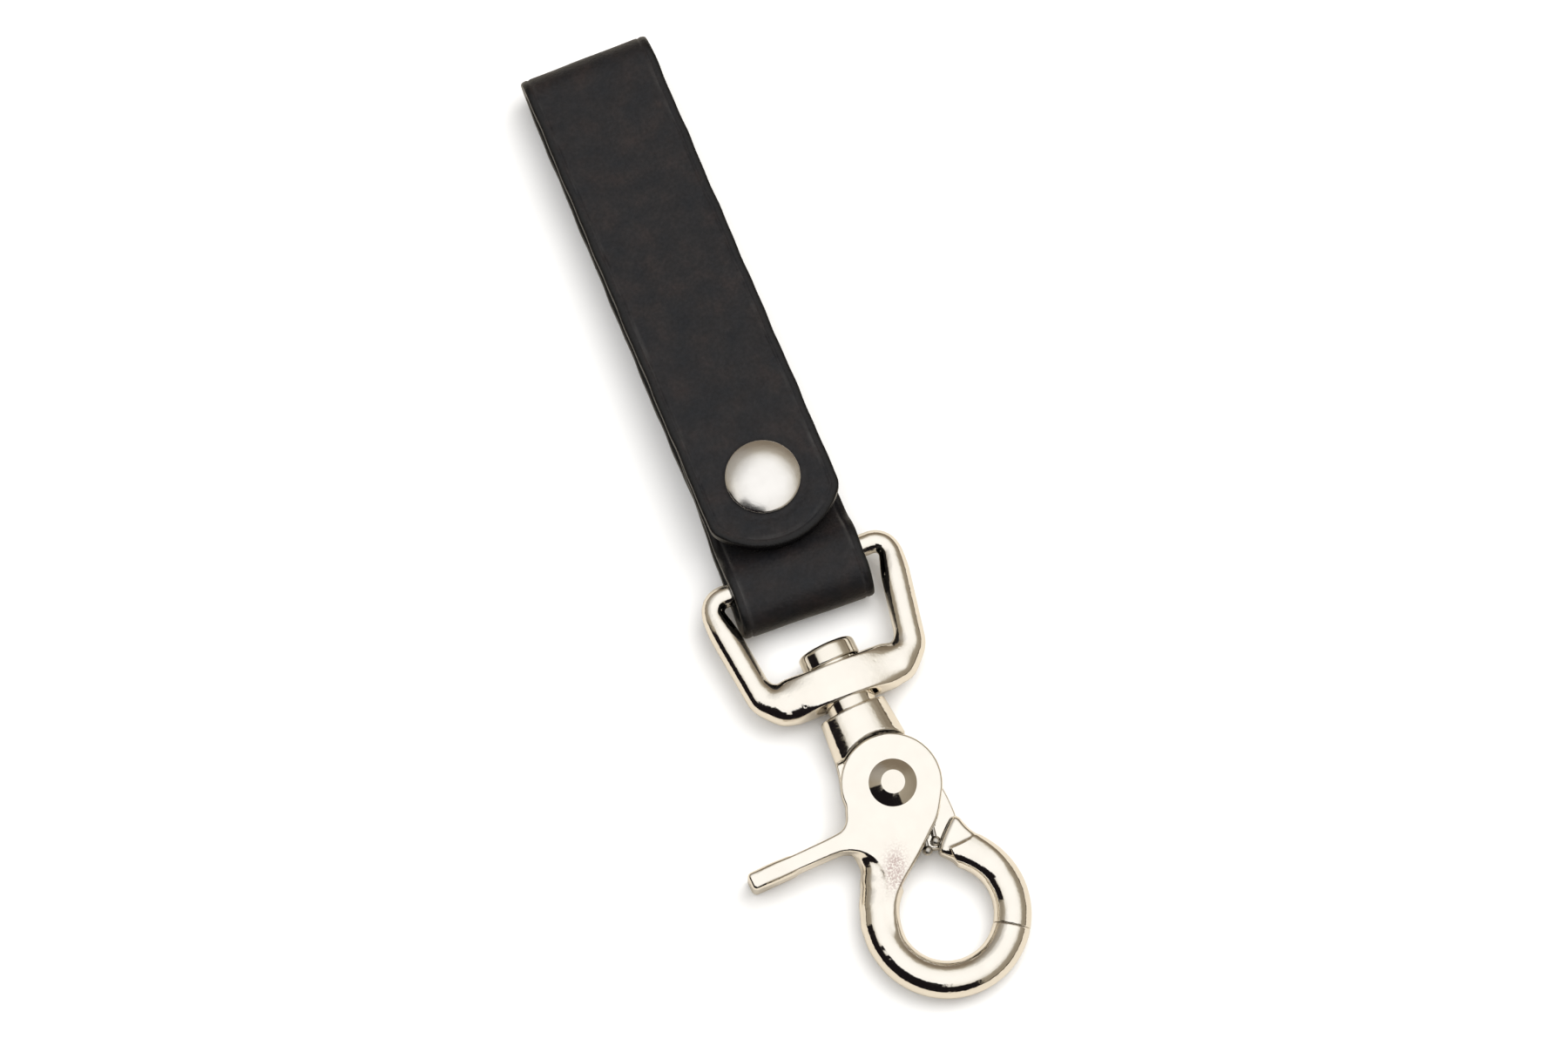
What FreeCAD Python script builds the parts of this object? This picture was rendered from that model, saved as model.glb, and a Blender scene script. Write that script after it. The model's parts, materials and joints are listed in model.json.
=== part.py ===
import FreeCAD, Part
import math
import os
import Sketcher

# Leather belt strap with a press stud and a swivel trigger snap hook.
# X runs across the strap, Y along it towards the top fold, Z up from the back face.
# Origin: on the back face, in the middle of the belt opening. The hook hangs towards -Y.
# Lengths are in millimetres and angles in degrees.

V = FreeCAD.Vector
Rotation = FreeCAD.Rotation
Placement = FreeCAD.Placement

# ---------------------------------------------------------------- driving dimensions
DIMS = {
    # leather: width and thickness, place of the stud, distance from the stud to the top fold
    "strap_width": 25.4, "leather_thick": 3.0, "snap_y": -46.0, "fold_run": 83.7,
    # outer radius of the top fold, slope of the flap, its length past the stud
    "fold_out": 5.1, "flap_slope": 1.74, "flap_end": 13.1,
    # radii of the flap's free end and of its corners, bevel on its upper edges
    "flap_arc": 15.0, "flap_corner": 3.9, "edge_bevel": 0.7,
    # hook loop: skew, place and outer radius, all measured from the stud
    "loop_skew": -2.2, "loop_y": -20.0, "loop_z": 5.5, "loop_out": 5.5,
    # tucked layer: where the rise from the stud starts and ends, its free end, gap below it
    "rise_y": -5.8, "loop_crest": -17.0, "tuck_end": 13.0, "slit": 0.1,
    "post_hole": 2.15,  # radius of the stud's holes in the leather

    # press stud, upper half: cap, barrel and socket (socket_low is the depth of the cup)
    "cap_rad": 6.84, "cap_dome": 2.1, "cap_wall": 0.5,
    "barrel_rad": 2.1, "barrel_bore": 1.3,
    "socket_rad": 6.2, "socket_low": 2.75, "socket_hole": 3.75, "ring_wire": 0.28,
    # press stud, lower half: radii of the stud and of the rear post
    "stud_flange": 5.0, "stud_bulb": 3.4, "stud_neck": 3.0,
    "post_rad": 2.1, "post_flange": 5.5,

    # placing of the hook: its pivot, then yaw about Z and tilt about X of hook and eye
    "pivot_x": 0.52, "pivot_y": -105.39, "pivot_z": 4.62,
    "hook_yaw": 2.75, "hook_tilt": 2.0, "eye_yaw": -1.23, "eye_tilt": 0.9,
    # pin offset, pivot to eye plate, eye plate to top bar, scale of the casting outlines
    "pin_x": -0.28, "plate_up": 20.49, "bar_up": 22.4, "cast_scale": 0.94,

    # swivel eye: wire radius, half widths at top and bottom, corner radius
    "bar_rad": 2.2, "eye_top": 17.15, "eye_low": 13.92, "eye_corner": 3.0,
    # its base plate, the half axes of the oval boss, and the bore
    "plate_height": 6.8, "plate_thick": 5.2,
    "boss_wide": 10.1, "boss_deep": 5.2, "swivel_bore": 4.57,
    # swivel pin
    "head_rad": 5.35, "head_low": 24.35, "head_height": 3.4,
    "neck_rad": 4.5, "spigot_rad": 2.8,

    # hook body: oval collar (half axes, centre, ends along Y)
    "collar_wide": 6.3, "collar_deep": 4.8, "collar_x": -0.65,
    "collar_top": 15.25, "collar_low": 7.7,
    # Z faces of the back plate and of the trigger's disc, and the radius of both
    "plate_back": -3.8, "plate_front": -0.7,
    "disc_back": -0.6, "disc_front": 3.6, "disc_rad": 9.0,
    # round ring shared by the fixed jaw and the trigger, and the seam between them
    "ring_x": -0.97, "ring_y": -24.62, "ring_rad": 11.46, "tube_rad": 3.04,
    "seam_ang": -36.0, "seam_gap": 0.15,

    # trigger: bore, Y faces and tip of the lever, half depth of the thumb pad
    "bore_rad": 2.46, "lever_up": -4.2, "lever_low": -6.9, "lever_tip": -30.0, "pad_deep": 4.4,
    # spring recess in the trigger
    "recess_in": 4.4, "recess_out": 6.3, "recess_top": 2.2,
    # pivot rivet: shank, then foot and top radii and height of the cone head
    "rivet_rad": 2.4, "cone_rad": 4.3, "cone_top": 2.15, "cone_height": 1.45,
    # trigger spring: radii of coil, wire and end balls
    "coil_rad": 5.3, "coil_wire": 0.4, "coil_turns": 2.1, "ball_rad": 0.9,
}

doc = FreeCAD.newDocument("key_strap")
sheet = doc.addObject("Spreadsheet::Sheet", "Dims")
for row, (alias, value) in enumerate(DIMS.items(), start=1):
    sheet.set("A%d" % row, alias)
    sheet.set("B%d" % row, repr(value))
    sheet.setAlias("B%d" % row, alias)
doc.recompute()


def text_of(number):
    return number.text if isinstance(number, Dim) else "(%r)" % float(number)


def operator_pair(symbol, operate):
    """The plain and the reflected operator that join both the values and the expressions."""
    def plain(left, right):
        text = "(%s %s %s)" % (text_of(left), symbol, text_of(right))
        return Dim(operate(float(left), float(right)), text)

    def reflected(right, left):
        return plain(left, right)

    return plain, reflected


class Dim(float):
    """A number that carries the sheet expression it comes from."""

    def __new__(cls, value, text):
        number = super().__new__(cls, value)
        number.text = text
        return number

    def __neg__(self):
        return Dim(-float(self), "(-%s)" % self.text)

    __add__, __radd__ = operator_pair("+", float.__add__)
    __sub__, __rsub__ = operator_pair("-", float.__sub__)
    __mul__, __rmul__ = operator_pair("*", float.__mul__)
    __truediv__, __rtruediv__ = operator_pair("/", float.__truediv__)


class Dims:
    """Holds one Dim for each alias of the sheet."""


dim = Dims()
for alias in DIMS:
    setattr(dim, alias, Dim(float(sheet.get(alias)), "Dims." + alias))


# ---------------------------------------------------------------- modelling helpers
def drive(obj, prop, size):
    """Set a property, and bind it where the size comes from the sheet."""
    setattr(obj, prop, float(size))
    if isinstance(size, Dim):
        obj.setExpression(prop, size.text)


def new_body(name, base, rotation=None):
    """A body at base, each coordinate bound where it comes from the sheet."""
    body = doc.addObject("PartDesign::Body", name)
    body.Label = name
    body.Placement = Placement(V(*[float(size) for size in base]), rotation or Rotation())
    for axis, size in zip("xyz", base):
        if isinstance(size, Dim):
            body.setExpression("Placement.Base." + axis, size.text)
    return body


def plane(body, role):
    return next(item for item in body.Origin.OriginFeatures if item.Role == role)


def new_sketch(body, name, role, lift=0.0, turn=None):
    """A sketch on an origin plane, lifted along the plane's normal and turned."""
    sketch = body.newObject("Sketcher::SketchObject", name)
    sketch.AttachmentSupport = [(plane(body, role), "")]
    sketch.MapMode = "FlatFace"
    sketch.AttachmentOffset = Placement(V(0, 0, float(lift)), turn or Rotation())
    return sketch


def fix(sketch, kind, size, *elements):
    """A dimension constraint, bound where the size comes from the sheet."""
    index = sketch.addConstraint(Sketcher.Constraint(kind, *elements, float(size)))
    if isinstance(size, Dim):
        sketch.setExpression("Constraints[%d]" % index, size.text)


def circle_centre(start, through, end):
    """Centre of the circle through three points."""
    (x1, y1), (x2, y2), (x3, y3) = start, through, end
    double = 2.0 * (x1 * (y2 - y3) + x2 * (y3 - y1) + x3 * (y1 - y2))
    sq1, sq2, sq3 = (x * x + y * y for x, y in (start, through, end))
    return ((sq1 * (y2 - y3) + sq2 * (y3 - y1) + sq3 * (y1 - y2)) / double,
            (sq1 * (x3 - x2) + sq2 * (x1 - x3) + sq3 * (x2 - x1)) / double)


def arc_between(start, through, end):
    """An arc, its centre, and whether it runs anticlockwise from start to end."""
    full = 2.0 * math.pi
    centre = circle_centre(start, through, end)
    first, middle, last = (math.atan2(point[1] - centre[1], point[0] - centre[0])
                           for point in (start, through, end))
    forward = (middle - first) % full < (last - first) % full
    if not forward:
        first, last = last, first
    radius = math.hypot(start[0] - centre[0], start[1] - centre[1])
    ring = Part.Circle(V(centre[0], centre[1], 0), V(0, 0, 1), radius)
    arc = Part.ArcOfCircle(ring, first % full, first % full + (last - first) % full)
    return arc, centre, forward


def outline(body, name, role, points, arcs=None, centre_x=None, lift=0.0, turn=None):
    """A sketch of one closed outline.

    arcs maps a side's index to a point that the side's arc passes through.
    centre_x maps an arc's index to the x that holds its centre.
    """
    arcs = arcs or {}
    centre_x = centre_x or {}
    sketch = new_sketch(body, name, role, lift, turn)
    corners = [(float(x), float(y)) for x, y in points]
    count = len(corners)
    held = {}
    ends = []
    for i, start in enumerate(corners):
        end = corners[(i + 1) % count]
        forward = True
        if i in arcs:
            through = (float(arcs[i][0]), float(arcs[i][1]))
            side, centre, forward = arc_between(start, through, end)
            # an arc's centre is held across its chord
            if i in centre_x:
                held[i] = ("DistanceX", centre_x[i])
            elif abs(end[1] - start[1]) >= abs(end[0] - start[0]):
                held[i] = ("DistanceX", centre[0])
            else:
                held[i] = ("DistanceY", centre[1])
        else:
            side = Part.LineSegment(V(start[0], start[1], 0), V(end[0], end[1], 0))
        sketch.addGeometry(side, False)
        ends.append((1, 2) if forward else (2, 1))
    for i in range(count):
        following = (i + 1) % count
        sketch.addConstraint(Sketcher.Constraint(
            "Coincident", i, ends[i][1], following, ends[following][0]))
    for i, (x, y) in enumerate(points):
        fix(sketch, "DistanceX", x, -1, 1, i, ends[i][0])
        fix(sketch, "DistanceY", y, -1, 1, i, ends[i][0])
    for i in arcs:
        kind, size = held[i]
        fix(sketch, kind, size, -1, 1, i, 3)
    return sketch


def circles(body, name, role, *radii, x=0.0, y=0.0, lift=0.0, turn=None):
    """A sketch of concentric circles."""
    sketch = new_sketch(body, name, role, lift, turn)
    for radius in radii:
        ring = Part.Circle(V(float(x), float(y), 0), V(0, 0, 1), float(radius))
        index = sketch.addGeometry(ring, False)
        fix(sketch, "DistanceX", x, -1, 1, index, 3)
        fix(sketch, "DistanceY", y, -1, 1, index, 3)
        fix(sketch, "Radius", radius, index)
    return sketch


def oval(body, name, role, half_x, half_y, x=0.0, lift=0.0):
    sketch = new_sketch(body, name, role, lift)
    sketch.addGeometry(Part.Ellipse(V(half_x + x, 0, 0), V(x, half_y, 0), V(x, 0, 0)), False)
    sketch.addConstraint(Sketcher.Constraint("Block", 0))
    return sketch


def extrude(kind, body, name, sketch, length, midplane, back):
    feature = body.newObject("PartDesign::" + kind, name)
    feature.Profile = sketch
    drive(feature, "Length", length)
    feature.Midplane = midplane
    feature.Reversed = back
    doc.recompute()
    return feature


def pad(body, name, sketch, length, midplane=False):
    return extrude("Pad", body, name, sketch, length, midplane, False)


def pocket(body, name, sketch, length, midplane=False, back=False):
    """A pocket against the sketch's normal, or along it when back is set."""
    before = body.Shape.Volume
    feature = extrude("Pocket", body, name, sketch, length, midplane, back)
    if body.Shape.Volume > before - 1e-6:
        raise RuntimeError("pocket cut nothing: " + name)
    return feature


def turned(body, name, sketch):
    """A full turn of the sketch about its upright axis."""
    feature = body.newObject("PartDesign::Revolution", name)
    feature.Profile = sketch
    feature.ReferenceAxis = (sketch, ["V_Axis"])
    feature.Angle = 360.0
    doc.recompute()


# ---------------------------------------------------------------- shared sizes
thick = dim.leather_thick
half_width = dim.strap_width / 2
tuck_under = thick + dim.slit        # lower face of the tucked layer
tuck_face = 2 * thick + dim.slit     # upper face of the tucked layer
hole_depth = 8.0                     # cuts right through the leather

# The flap starts at the top fold and slopes with its own frame.
flap_turn = Rotation(V(1, 0, 0), -dim.flap_slope)
flap_base = (0, dim.snap_y + dim.fold_run, 2 * dim.fold_out - thick)
# distance from the fold to the stud, measured along the flap
stud_run = dim.fold_run / math.cos(math.radians(dim.flap_slope))


def at_stud(height):
    """The point over the stud at a height in the flap's frame, given in the main frame."""
    return V(*flap_base) + flap_turn.multVec(V(0, -stud_run, height))


# Frames of the hook and of the eye.
pivot_base = (dim.pivot_x, dim.pivot_y, dim.pivot_z)
pivot = V(*pivot_base)
hook_turn = Rotation(V(0, 0, 1), dim.hook_yaw).multiply(Rotation(V(1, 0, 0), dim.hook_tilt))
eye_turn = Rotation(V(0, 0, 1), dim.eye_yaw).multiply(Rotation(V(1, 0, 0), dim.eye_tilt))

plate_depth = dim.plate_front - dim.plate_back
disc_room = dim.disc_rad + 0.25      # clearance circle round the disc and the back plate
bore_start = -6.0                    # below everything that the rivet passes through


# ---------------------------------------------------------------- leather
def make_back_loop():
    """Back layer, hook loop and tucked end: one length of leather."""
    body = new_body("strap_back_loop", (0, dim.snap_y, 0))
    # (y, z)
    sketch = outline(body, "back_side", "YZ_Plane", [
        (-4.0, 0.0), (dim.fold_run, 0.0), (dim.fold_run, thick), (-4.0, thick)])
    pad(body, "back_layer", sketch, dim.strap_width, midplane=True)

    loop_in = dim.loop_out - thick
    loop_top = dim.loop_z + dim.loop_out
    # The tucked layer rises in an S of two equal arcs, level at both ends.
    run = float(dim.rise_y - dim.loop_crest)
    rise = float(loop_top - tuck_face)
    bend = (run * run + rise * rise) / (4.0 * rise)
    half_turn = math.atan2(rise, run)

    def on_lower_arc(radius, level):
        return (dim.rise_y - radius * math.sin(half_turn),
                level + radius * (1 - math.cos(half_turn)))

    def on_upper_arc(radius, level):
        return (dim.loop_crest + radius * math.sin(half_turn),
                level - radius * (1 - math.cos(half_turn)))

    # the layer's lower face runs parallel to its upper face
    upper_mid = ((dim.rise_y + dim.loop_crest) / 2, (tuck_face + loop_top) / 2)
    lower_mid = (upper_mid[0] - thick * math.sin(2 * half_turn),
                 upper_mid[1] - thick * math.cos(2 * half_turn))
    # (y, z): over the tucked layer, round the loop's outside, back along its inside
    points = [
        (dim.tuck_end, tuck_under), (dim.tuck_end, tuck_face),
        (dim.rise_y, tuck_face), upper_mid, (dim.loop_crest, loop_top),
        (dim.loop_y, loop_top), (dim.loop_y, dim.loop_z - dim.loop_out),
        (-10.0, 0.0), (4.0, 0.0), (4.0, thick), (-10.0, thick),
        (dim.loop_y, dim.loop_z - loop_in), (dim.loop_y, dim.loop_z + loop_in),
        (dim.loop_crest, dim.loop_z + loop_in), lower_mid, (dim.rise_y, tuck_under),
    ]
    arcs = {
        2: on_lower_arc(bend, tuck_face),
        3: on_upper_arc(bend, loop_top),
        5: (dim.loop_y - dim.loop_out, dim.loop_z),
        11: (dim.loop_y - loop_in, dim.loop_z),
        13: on_upper_arc(bend - thick, loop_top - thick),
        14: on_lower_arc(bend + thick, tuck_under),
    }
    sketch = outline(body, "loop_side", "YZ_Plane", points, arcs,
                     centre_x={5: dim.loop_y, 11: dim.loop_y},
                     turn=Rotation(V(0, 1, 0), dim.loop_skew))
    pad(body, "loop_layer", sketch, dim.strap_width, midplane=True)

    sketch = circles(body, "post_hole", "XY_Plane", dim.post_hole)
    pocket(body, "post_bore", sketch, hole_depth, back=True)
    sketch = circles(body, "flange_seat", "XY_Plane", dim.post_flange + 0.05)
    pocket(body, "flange_recess", sketch, 0.6, back=True)
    return body


def make_fold():
    """Top fold: the bend between the back layer and the flap."""
    body = new_body("strap_fold", (0, dim.snap_y, 0))
    start = dim.fold_run + 0.02  # a hair clear of the back layer
    fold_in = dim.fold_out - thick
    # (y, z)
    points = [(start, 0.0), (start, 2 * dim.fold_out),
              (start, 2 * dim.fold_out - thick), (start, thick)]
    arcs = {0: (start + dim.fold_out, dim.fold_out), 2: (start + fold_in, dim.fold_out)}
    sketch = outline(body, "fold_side", "YZ_Plane", points, arcs, centre_x={0: start, 2: start})
    pad(body, "fold_bend", sketch, dim.strap_width, midplane=True)
    return body


def make_flap():
    """Front flap: flat leather with a rounded free end, its upper edges bevelled."""
    body = new_body("strap_flap", flap_base, flap_turn)
    hinge_y = -0.12
    tip_y = -(stud_run + dim.flap_end)
    # each corner arc is tangent to the side and to the end arc
    arc_y = tip_y + dim.flap_arc
    corner_x = half_width - dim.flap_corner
    drop = math.sqrt((dim.flap_arc - dim.flap_corner) ** 2 - corner_x ** 2)
    corner_y = arc_y - drop
    reach = dim.flap_arc / (dim.flap_arc - dim.flap_corner)
    touch_x = corner_x * reach
    touch_y = arc_y - drop * reach
    mid_angle = math.atan2(-drop, corner_x) / 2
    mid_x = corner_x + dim.flap_corner * math.cos(mid_angle)
    mid_y = corner_y + dim.flap_corner * math.sin(mid_angle)
    # (x, y along the flap)
    points = [(-half_width, hinge_y), (-half_width, corner_y), (-touch_x, touch_y),
              (touch_x, touch_y), (half_width, corner_y), (half_width, hinge_y)]
    arcs = {1: (-mid_x, mid_y), 2: (0.0, tip_y), 3: (mid_x, mid_y)}
    pad(body, "flap_layer", outline(body, "flap_face", "XY_Plane", points, arcs), thick)
    sketch = circles(body, "barrel_hole", "XY_Plane", dim.post_hole, y=-stud_run)
    bored = pocket(body, "barrel_bore", sketch, hole_depth, back=True)

    # bevel the upper rim, but neither the edge at the fold nor the closed edge of the hole
    edges = []
    for i, edge in enumerate(bored.Shape.Edges, start=1):
        ends = [vertex.Point for vertex in edge.Vertexes]
        on_top = all(abs(point.z - thick) < 1e-3 for point in ends)
        at_fold = all(abs(point.y - hinge_y) < 1e-3 for point in ends)
        if on_top and not at_fold and len(ends) == 2:
            edges.append("Edge%d" % i)
    bevel = body.newObject("PartDesign::Chamfer", "flap_bevel")
    bevel.Base = (bored, edges)
    drive(bevel, "Size", dim.edge_bevel)
    doc.recompute()
    return body


# ---------------------------------------------------------------- press stud
# The outlines of turned pieces are (radius, height).
def dome_mid(apex, reach, rim):
    """A point halfway out on the sphere through an apex on the axis and a rim at reach."""
    rise = apex - rim
    radius = (reach * reach + rise * rise) / (2.0 * rise)
    return (reach / 2.0, apex - radius + math.sqrt(radius * radius - reach * reach / 4.0))


def make_cap_shell():
    """Cap shell: a thin dome with a rounded rim."""
    body = new_body("snap_cap_shell", at_stud(thick), flap_turn)
    under = dim.cap_dome - dim.cap_wall
    lip = dim.cap_rad - 1.1
    rim = dim.cap_rad - 0.1
    rim_height = 0.75
    points = [(0.0, dim.cap_dome), (0.0, under), (lip, rim_height), (lip, 0.02),
              (dim.cap_rad - 0.3, 0.02), (rim, rim_height)]
    arcs = {1: dome_mid(under, lip, rim_height), 4: (dim.cap_rad, 0.4),
            5: dome_mid(dim.cap_dome, rim, rim_height)}
    sketch = outline(body, "dome_side", "XZ_Plane", points, arcs, centre_x={1: 0.0, 5: 0.0})
    turned(body, "dome", sketch)
    return body


def make_cap_barrel():
    """Barrel: a flange under the dome and a tube through the flap, flared in the socket."""
    body = new_body("snap_cap_barrel", at_stud(thick), flap_turn)
    sketch = outline(body, "barrel_side", "XZ_Plane", [
        (0.0, 0.05), (5.4, 0.05), (5.4, 0.45), (0.0, 0.45)])
    turned(body, "barrel_flange", sketch)
    sketch = outline(body, "tube_side", "XZ_Plane", [
        (0.0, 0.1), (0.0, -2.2), (dim.barrel_bore, -2.2), (dim.barrel_bore, -3.75),
        (3.0, -3.75), (3.0, -3.45), (dim.barrel_rad, -3.45), (dim.barrel_rad, 0.1)])
    turned(body, "barrel_tube", sketch)
    return body


def make_socket_shell():
    """Socket shell: a shallow cup on the flap's underside, open below for the stud."""
    body = new_body("snap_socket_shell", at_stud(0.0), flap_turn)
    inner = dim.barrel_rad + 0.05
    low = -dim.socket_low
    sketch = outline(body, "socket_side", "XZ_Plane", [
        (inner, -0.02), (dim.socket_rad - 0.4, -0.02), (dim.socket_rad, -0.5),
        (dim.socket_rad - 0.7, low), (dim.socket_hole, low), (dim.socket_hole, low + 0.4),
        (4.6, low + 0.4), (4.6, -0.42), (inner, -0.42)])
    turned(body, "socket_cup", sketch)
    return body


def make_socket_spring():
    """Socket spring: a split wire ring round the stud."""
    ring = doc.addObject("Part::Torus", "socket_ring")
    drive(ring, "Radius1", dim.stud_neck + dim.ring_wire + 0.1)
    drive(ring, "Radius2", dim.ring_wire)
    gap = doc.addObject("Part::Box", "ring_split")
    gap.Length = 3.0
    gap.Width = 1.2
    gap.Height = 2.0
    gap.Placement = Placement(V(2.0, -0.6, -1.0), Rotation())
    split = doc.addObject("Part::Cut", "snap_socket_spring")
    split.Base = ring
    split.Tool = gap
    split.Label = "snap_socket_spring"
    split.Placement = Placement(at_stud(0.72 - dim.socket_low), flap_turn)
    doc.recompute()
    return split


def make_stud():
    """Stud: flange on the tucked layer, neck and bulb."""
    body = new_body("snap_stud", (0, dim.snap_y, 0))
    inner = dim.post_rad + 0.02
    sketch = outline(body, "stud_side", "XZ_Plane", [
        (inner, tuck_face + 0.01), (dim.stud_flange, tuck_face + 0.01),
        (dim.stud_flange, tuck_face + 0.35), (dim.stud_neck, tuck_face + 0.6),
        (dim.stud_neck, tuck_face + 1.7), (dim.stud_bulb - 0.1, tuck_face + 2.0),
        (2.6, tuck_face + 2.75), (inner, tuck_face + 2.75)])
    turned(body, "stud_form", sketch)
    return body


def make_rear_post():
    """Rear post: a flat head let into the back face and a tube inside the stud."""
    body = new_body("snap_rear_post", (0, dim.snap_y, 0))
    tube_bore = 1.3
    tube_top = tuck_face + 2.8
    sketch = outline(body, "post_side", "XZ_Plane", [
        (0.0, 0.0), (dim.post_flange, 0.0), (dim.post_flange, 0.5), (dim.post_rad, 0.6),
        (dim.post_rad, tube_top), (tube_bore, tube_top), (tube_bore, 1.0), (0.0, 1.0)])
    turned(body, "post_form", sketch)
    return body


# ---------------------------------------------------------------- swivel eye and pin
def rounded(points, radius):
    """For each corner of a closed outline, the start, middle and end of its rounding arc."""
    result = []
    for i, point in enumerate(points):
        corner = V(*point)
        before = V(*points[i - 1]) - corner
        after = V(*points[(i + 1) % len(points)]) - corner
        before.normalize()
        after.normalize()
        half = math.acos(max(-1.0, min(1.0, before.dot(after)))) / 2.0
        cut = radius / math.tan(half)
        inward = before + after
        inward.normalize()
        middle = corner + inward * (radius / math.sin(half) - radius)
        result.append((corner + before * cut, middle, corner + after * cut))
    return result


def make_swivel_eye():
    """Eye: top bar in the leather loop, two legs, and a bored base plate with an oval boss."""
    plate_centre = pivot + hook_turn.multVec(V(dim.pin_x, dim.plate_up, 0))
    bar_centre = plate_centre + eye_turn.multVec(V(0, dim.bar_up, 0))
    body = new_body("swivel_eye", bar_centre, eye_turn)

    # the wire's path starts in the middle of the top bar
    corners = rounded([(-dim.eye_top, 0.0), (dim.eye_top, 0.0),
                       (dim.eye_low, -dim.bar_up), (-dim.eye_low, -dim.bar_up)],
                      float(dim.eye_corner))
    points = [(0.0, 0.0)]
    arcs = {}
    for start, middle, end in corners[1:] + corners[:1]:
        arcs[len(points)] = (middle.x, middle.y)
        points += [(start.x, start.y), (end.x, end.y)]
    path = outline(body, "eye_path", "XY_Plane", points, arcs)
    section = circles(body, "bar_round", "YZ_Plane", dim.bar_rad)
    wire = body.newObject("PartDesign::AdditivePipe", "eye_wire")
    wire.Profile = section
    wire.Spine = (path, ["Edge%d" % (i + 1) for i in range(len(points))])
    doc.recompute()

    low = -dim.bar_up - dim.plate_height / 2
    high = -dim.bar_up + dim.plate_height / 2
    # (x, y)
    sketch = outline(body, "plate_front", "XY_Plane", [
        (-dim.eye_low - 1.2, low + 0.6), (-dim.eye_low + 1.0, low),
        (dim.eye_low - 1.0, low), (dim.eye_low + 1.2, low + 0.6),
        (dim.eye_low + 1.9, high), (-dim.eye_low - 1.9, high)])
    pad(body, "plate", sketch, dim.plate_thick, midplane=True)
    sketch = oval(body, "boss_oval", "XZ_Plane", dim.boss_wide, dim.boss_deep, lift=-high)
    pad(body, "boss", sketch, dim.plate_height)
    # the bore follows the hook's axis, not the eye's
    lean = Rotation(V(0, 1, 0), dim.hook_yaw - dim.eye_yaw).multiply(
        Rotation(V(1, 0, 0), dim.hook_tilt - dim.eye_tilt))
    sketch = circles(body, "bore_round", "XZ_Plane", dim.swivel_bore,
                     lift=dim.bar_up, turn=lean)
    pocket(body, "swivel_bore", sketch, 16.0, midplane=True)
    return body


def make_swivel_pin():
    """Swivel pin: head inside the eye, neck in the bore, spigot in the collar."""
    body = new_body("swivel_pin", pivot + hook_turn.multVec(V(dim.pin_x, 0, 0)), hook_turn)
    neck_low = dim.collar_top + 0.01
    head_high = dim.head_low + dim.head_height
    # (radius, y)
    points = [
        (0.0, 9.7), (dim.spigot_rad, 9.7), (dim.spigot_rad, neck_low), (dim.neck_rad, neck_low),
        (dim.neck_rad, dim.head_low), (dim.head_rad - 0.5, dim.head_low),
        (dim.head_rad, dim.head_low + 0.5), (dim.head_rad, head_high - 0.9),
        (dim.head_rad - 0.9, head_high), (0.0, head_high)]
    arcs = {5: (dim.head_rad - 0.15, dim.head_low + 0.15),
            7: (dim.head_rad - 0.26, head_high - 0.26)}
    turned(body, "pin_form", outline(body, "pin_side", "XY_Plane", points, arcs))
    return body


# ---------------------------------------------------------------- hook
def hook_part(name):
    return new_body(name, pivot_base, hook_turn)


def scaled(points):
    """Bring a casting outline's plain numbers to cast size; sheet sizes already are."""
    return [tuple(size if isinstance(size, Dim) else dim.cast_scale * size for size in point)
            for point in points]


def ring_part(body, name, start, sweep):
    """A length of the round ring, from a start angle about Z through a sweep."""
    torus = body.newObject("PartDesign::AdditiveTorus", name)
    torus.AttachmentSupport = [(plane(body, "XY_Plane"), "")]
    torus.MapMode = "FlatFace"
    torus.AttachmentOffset = Placement(V(dim.ring_x, dim.ring_y, 0),
                                       Rotation(V(0, 0, 1), start))
    drive(torus, "Radius1", dim.ring_rad)
    drive(torus, "Radius2", dim.tube_rad)
    torus.Angle3 = float(sweep)
    doc.recompute()


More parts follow.
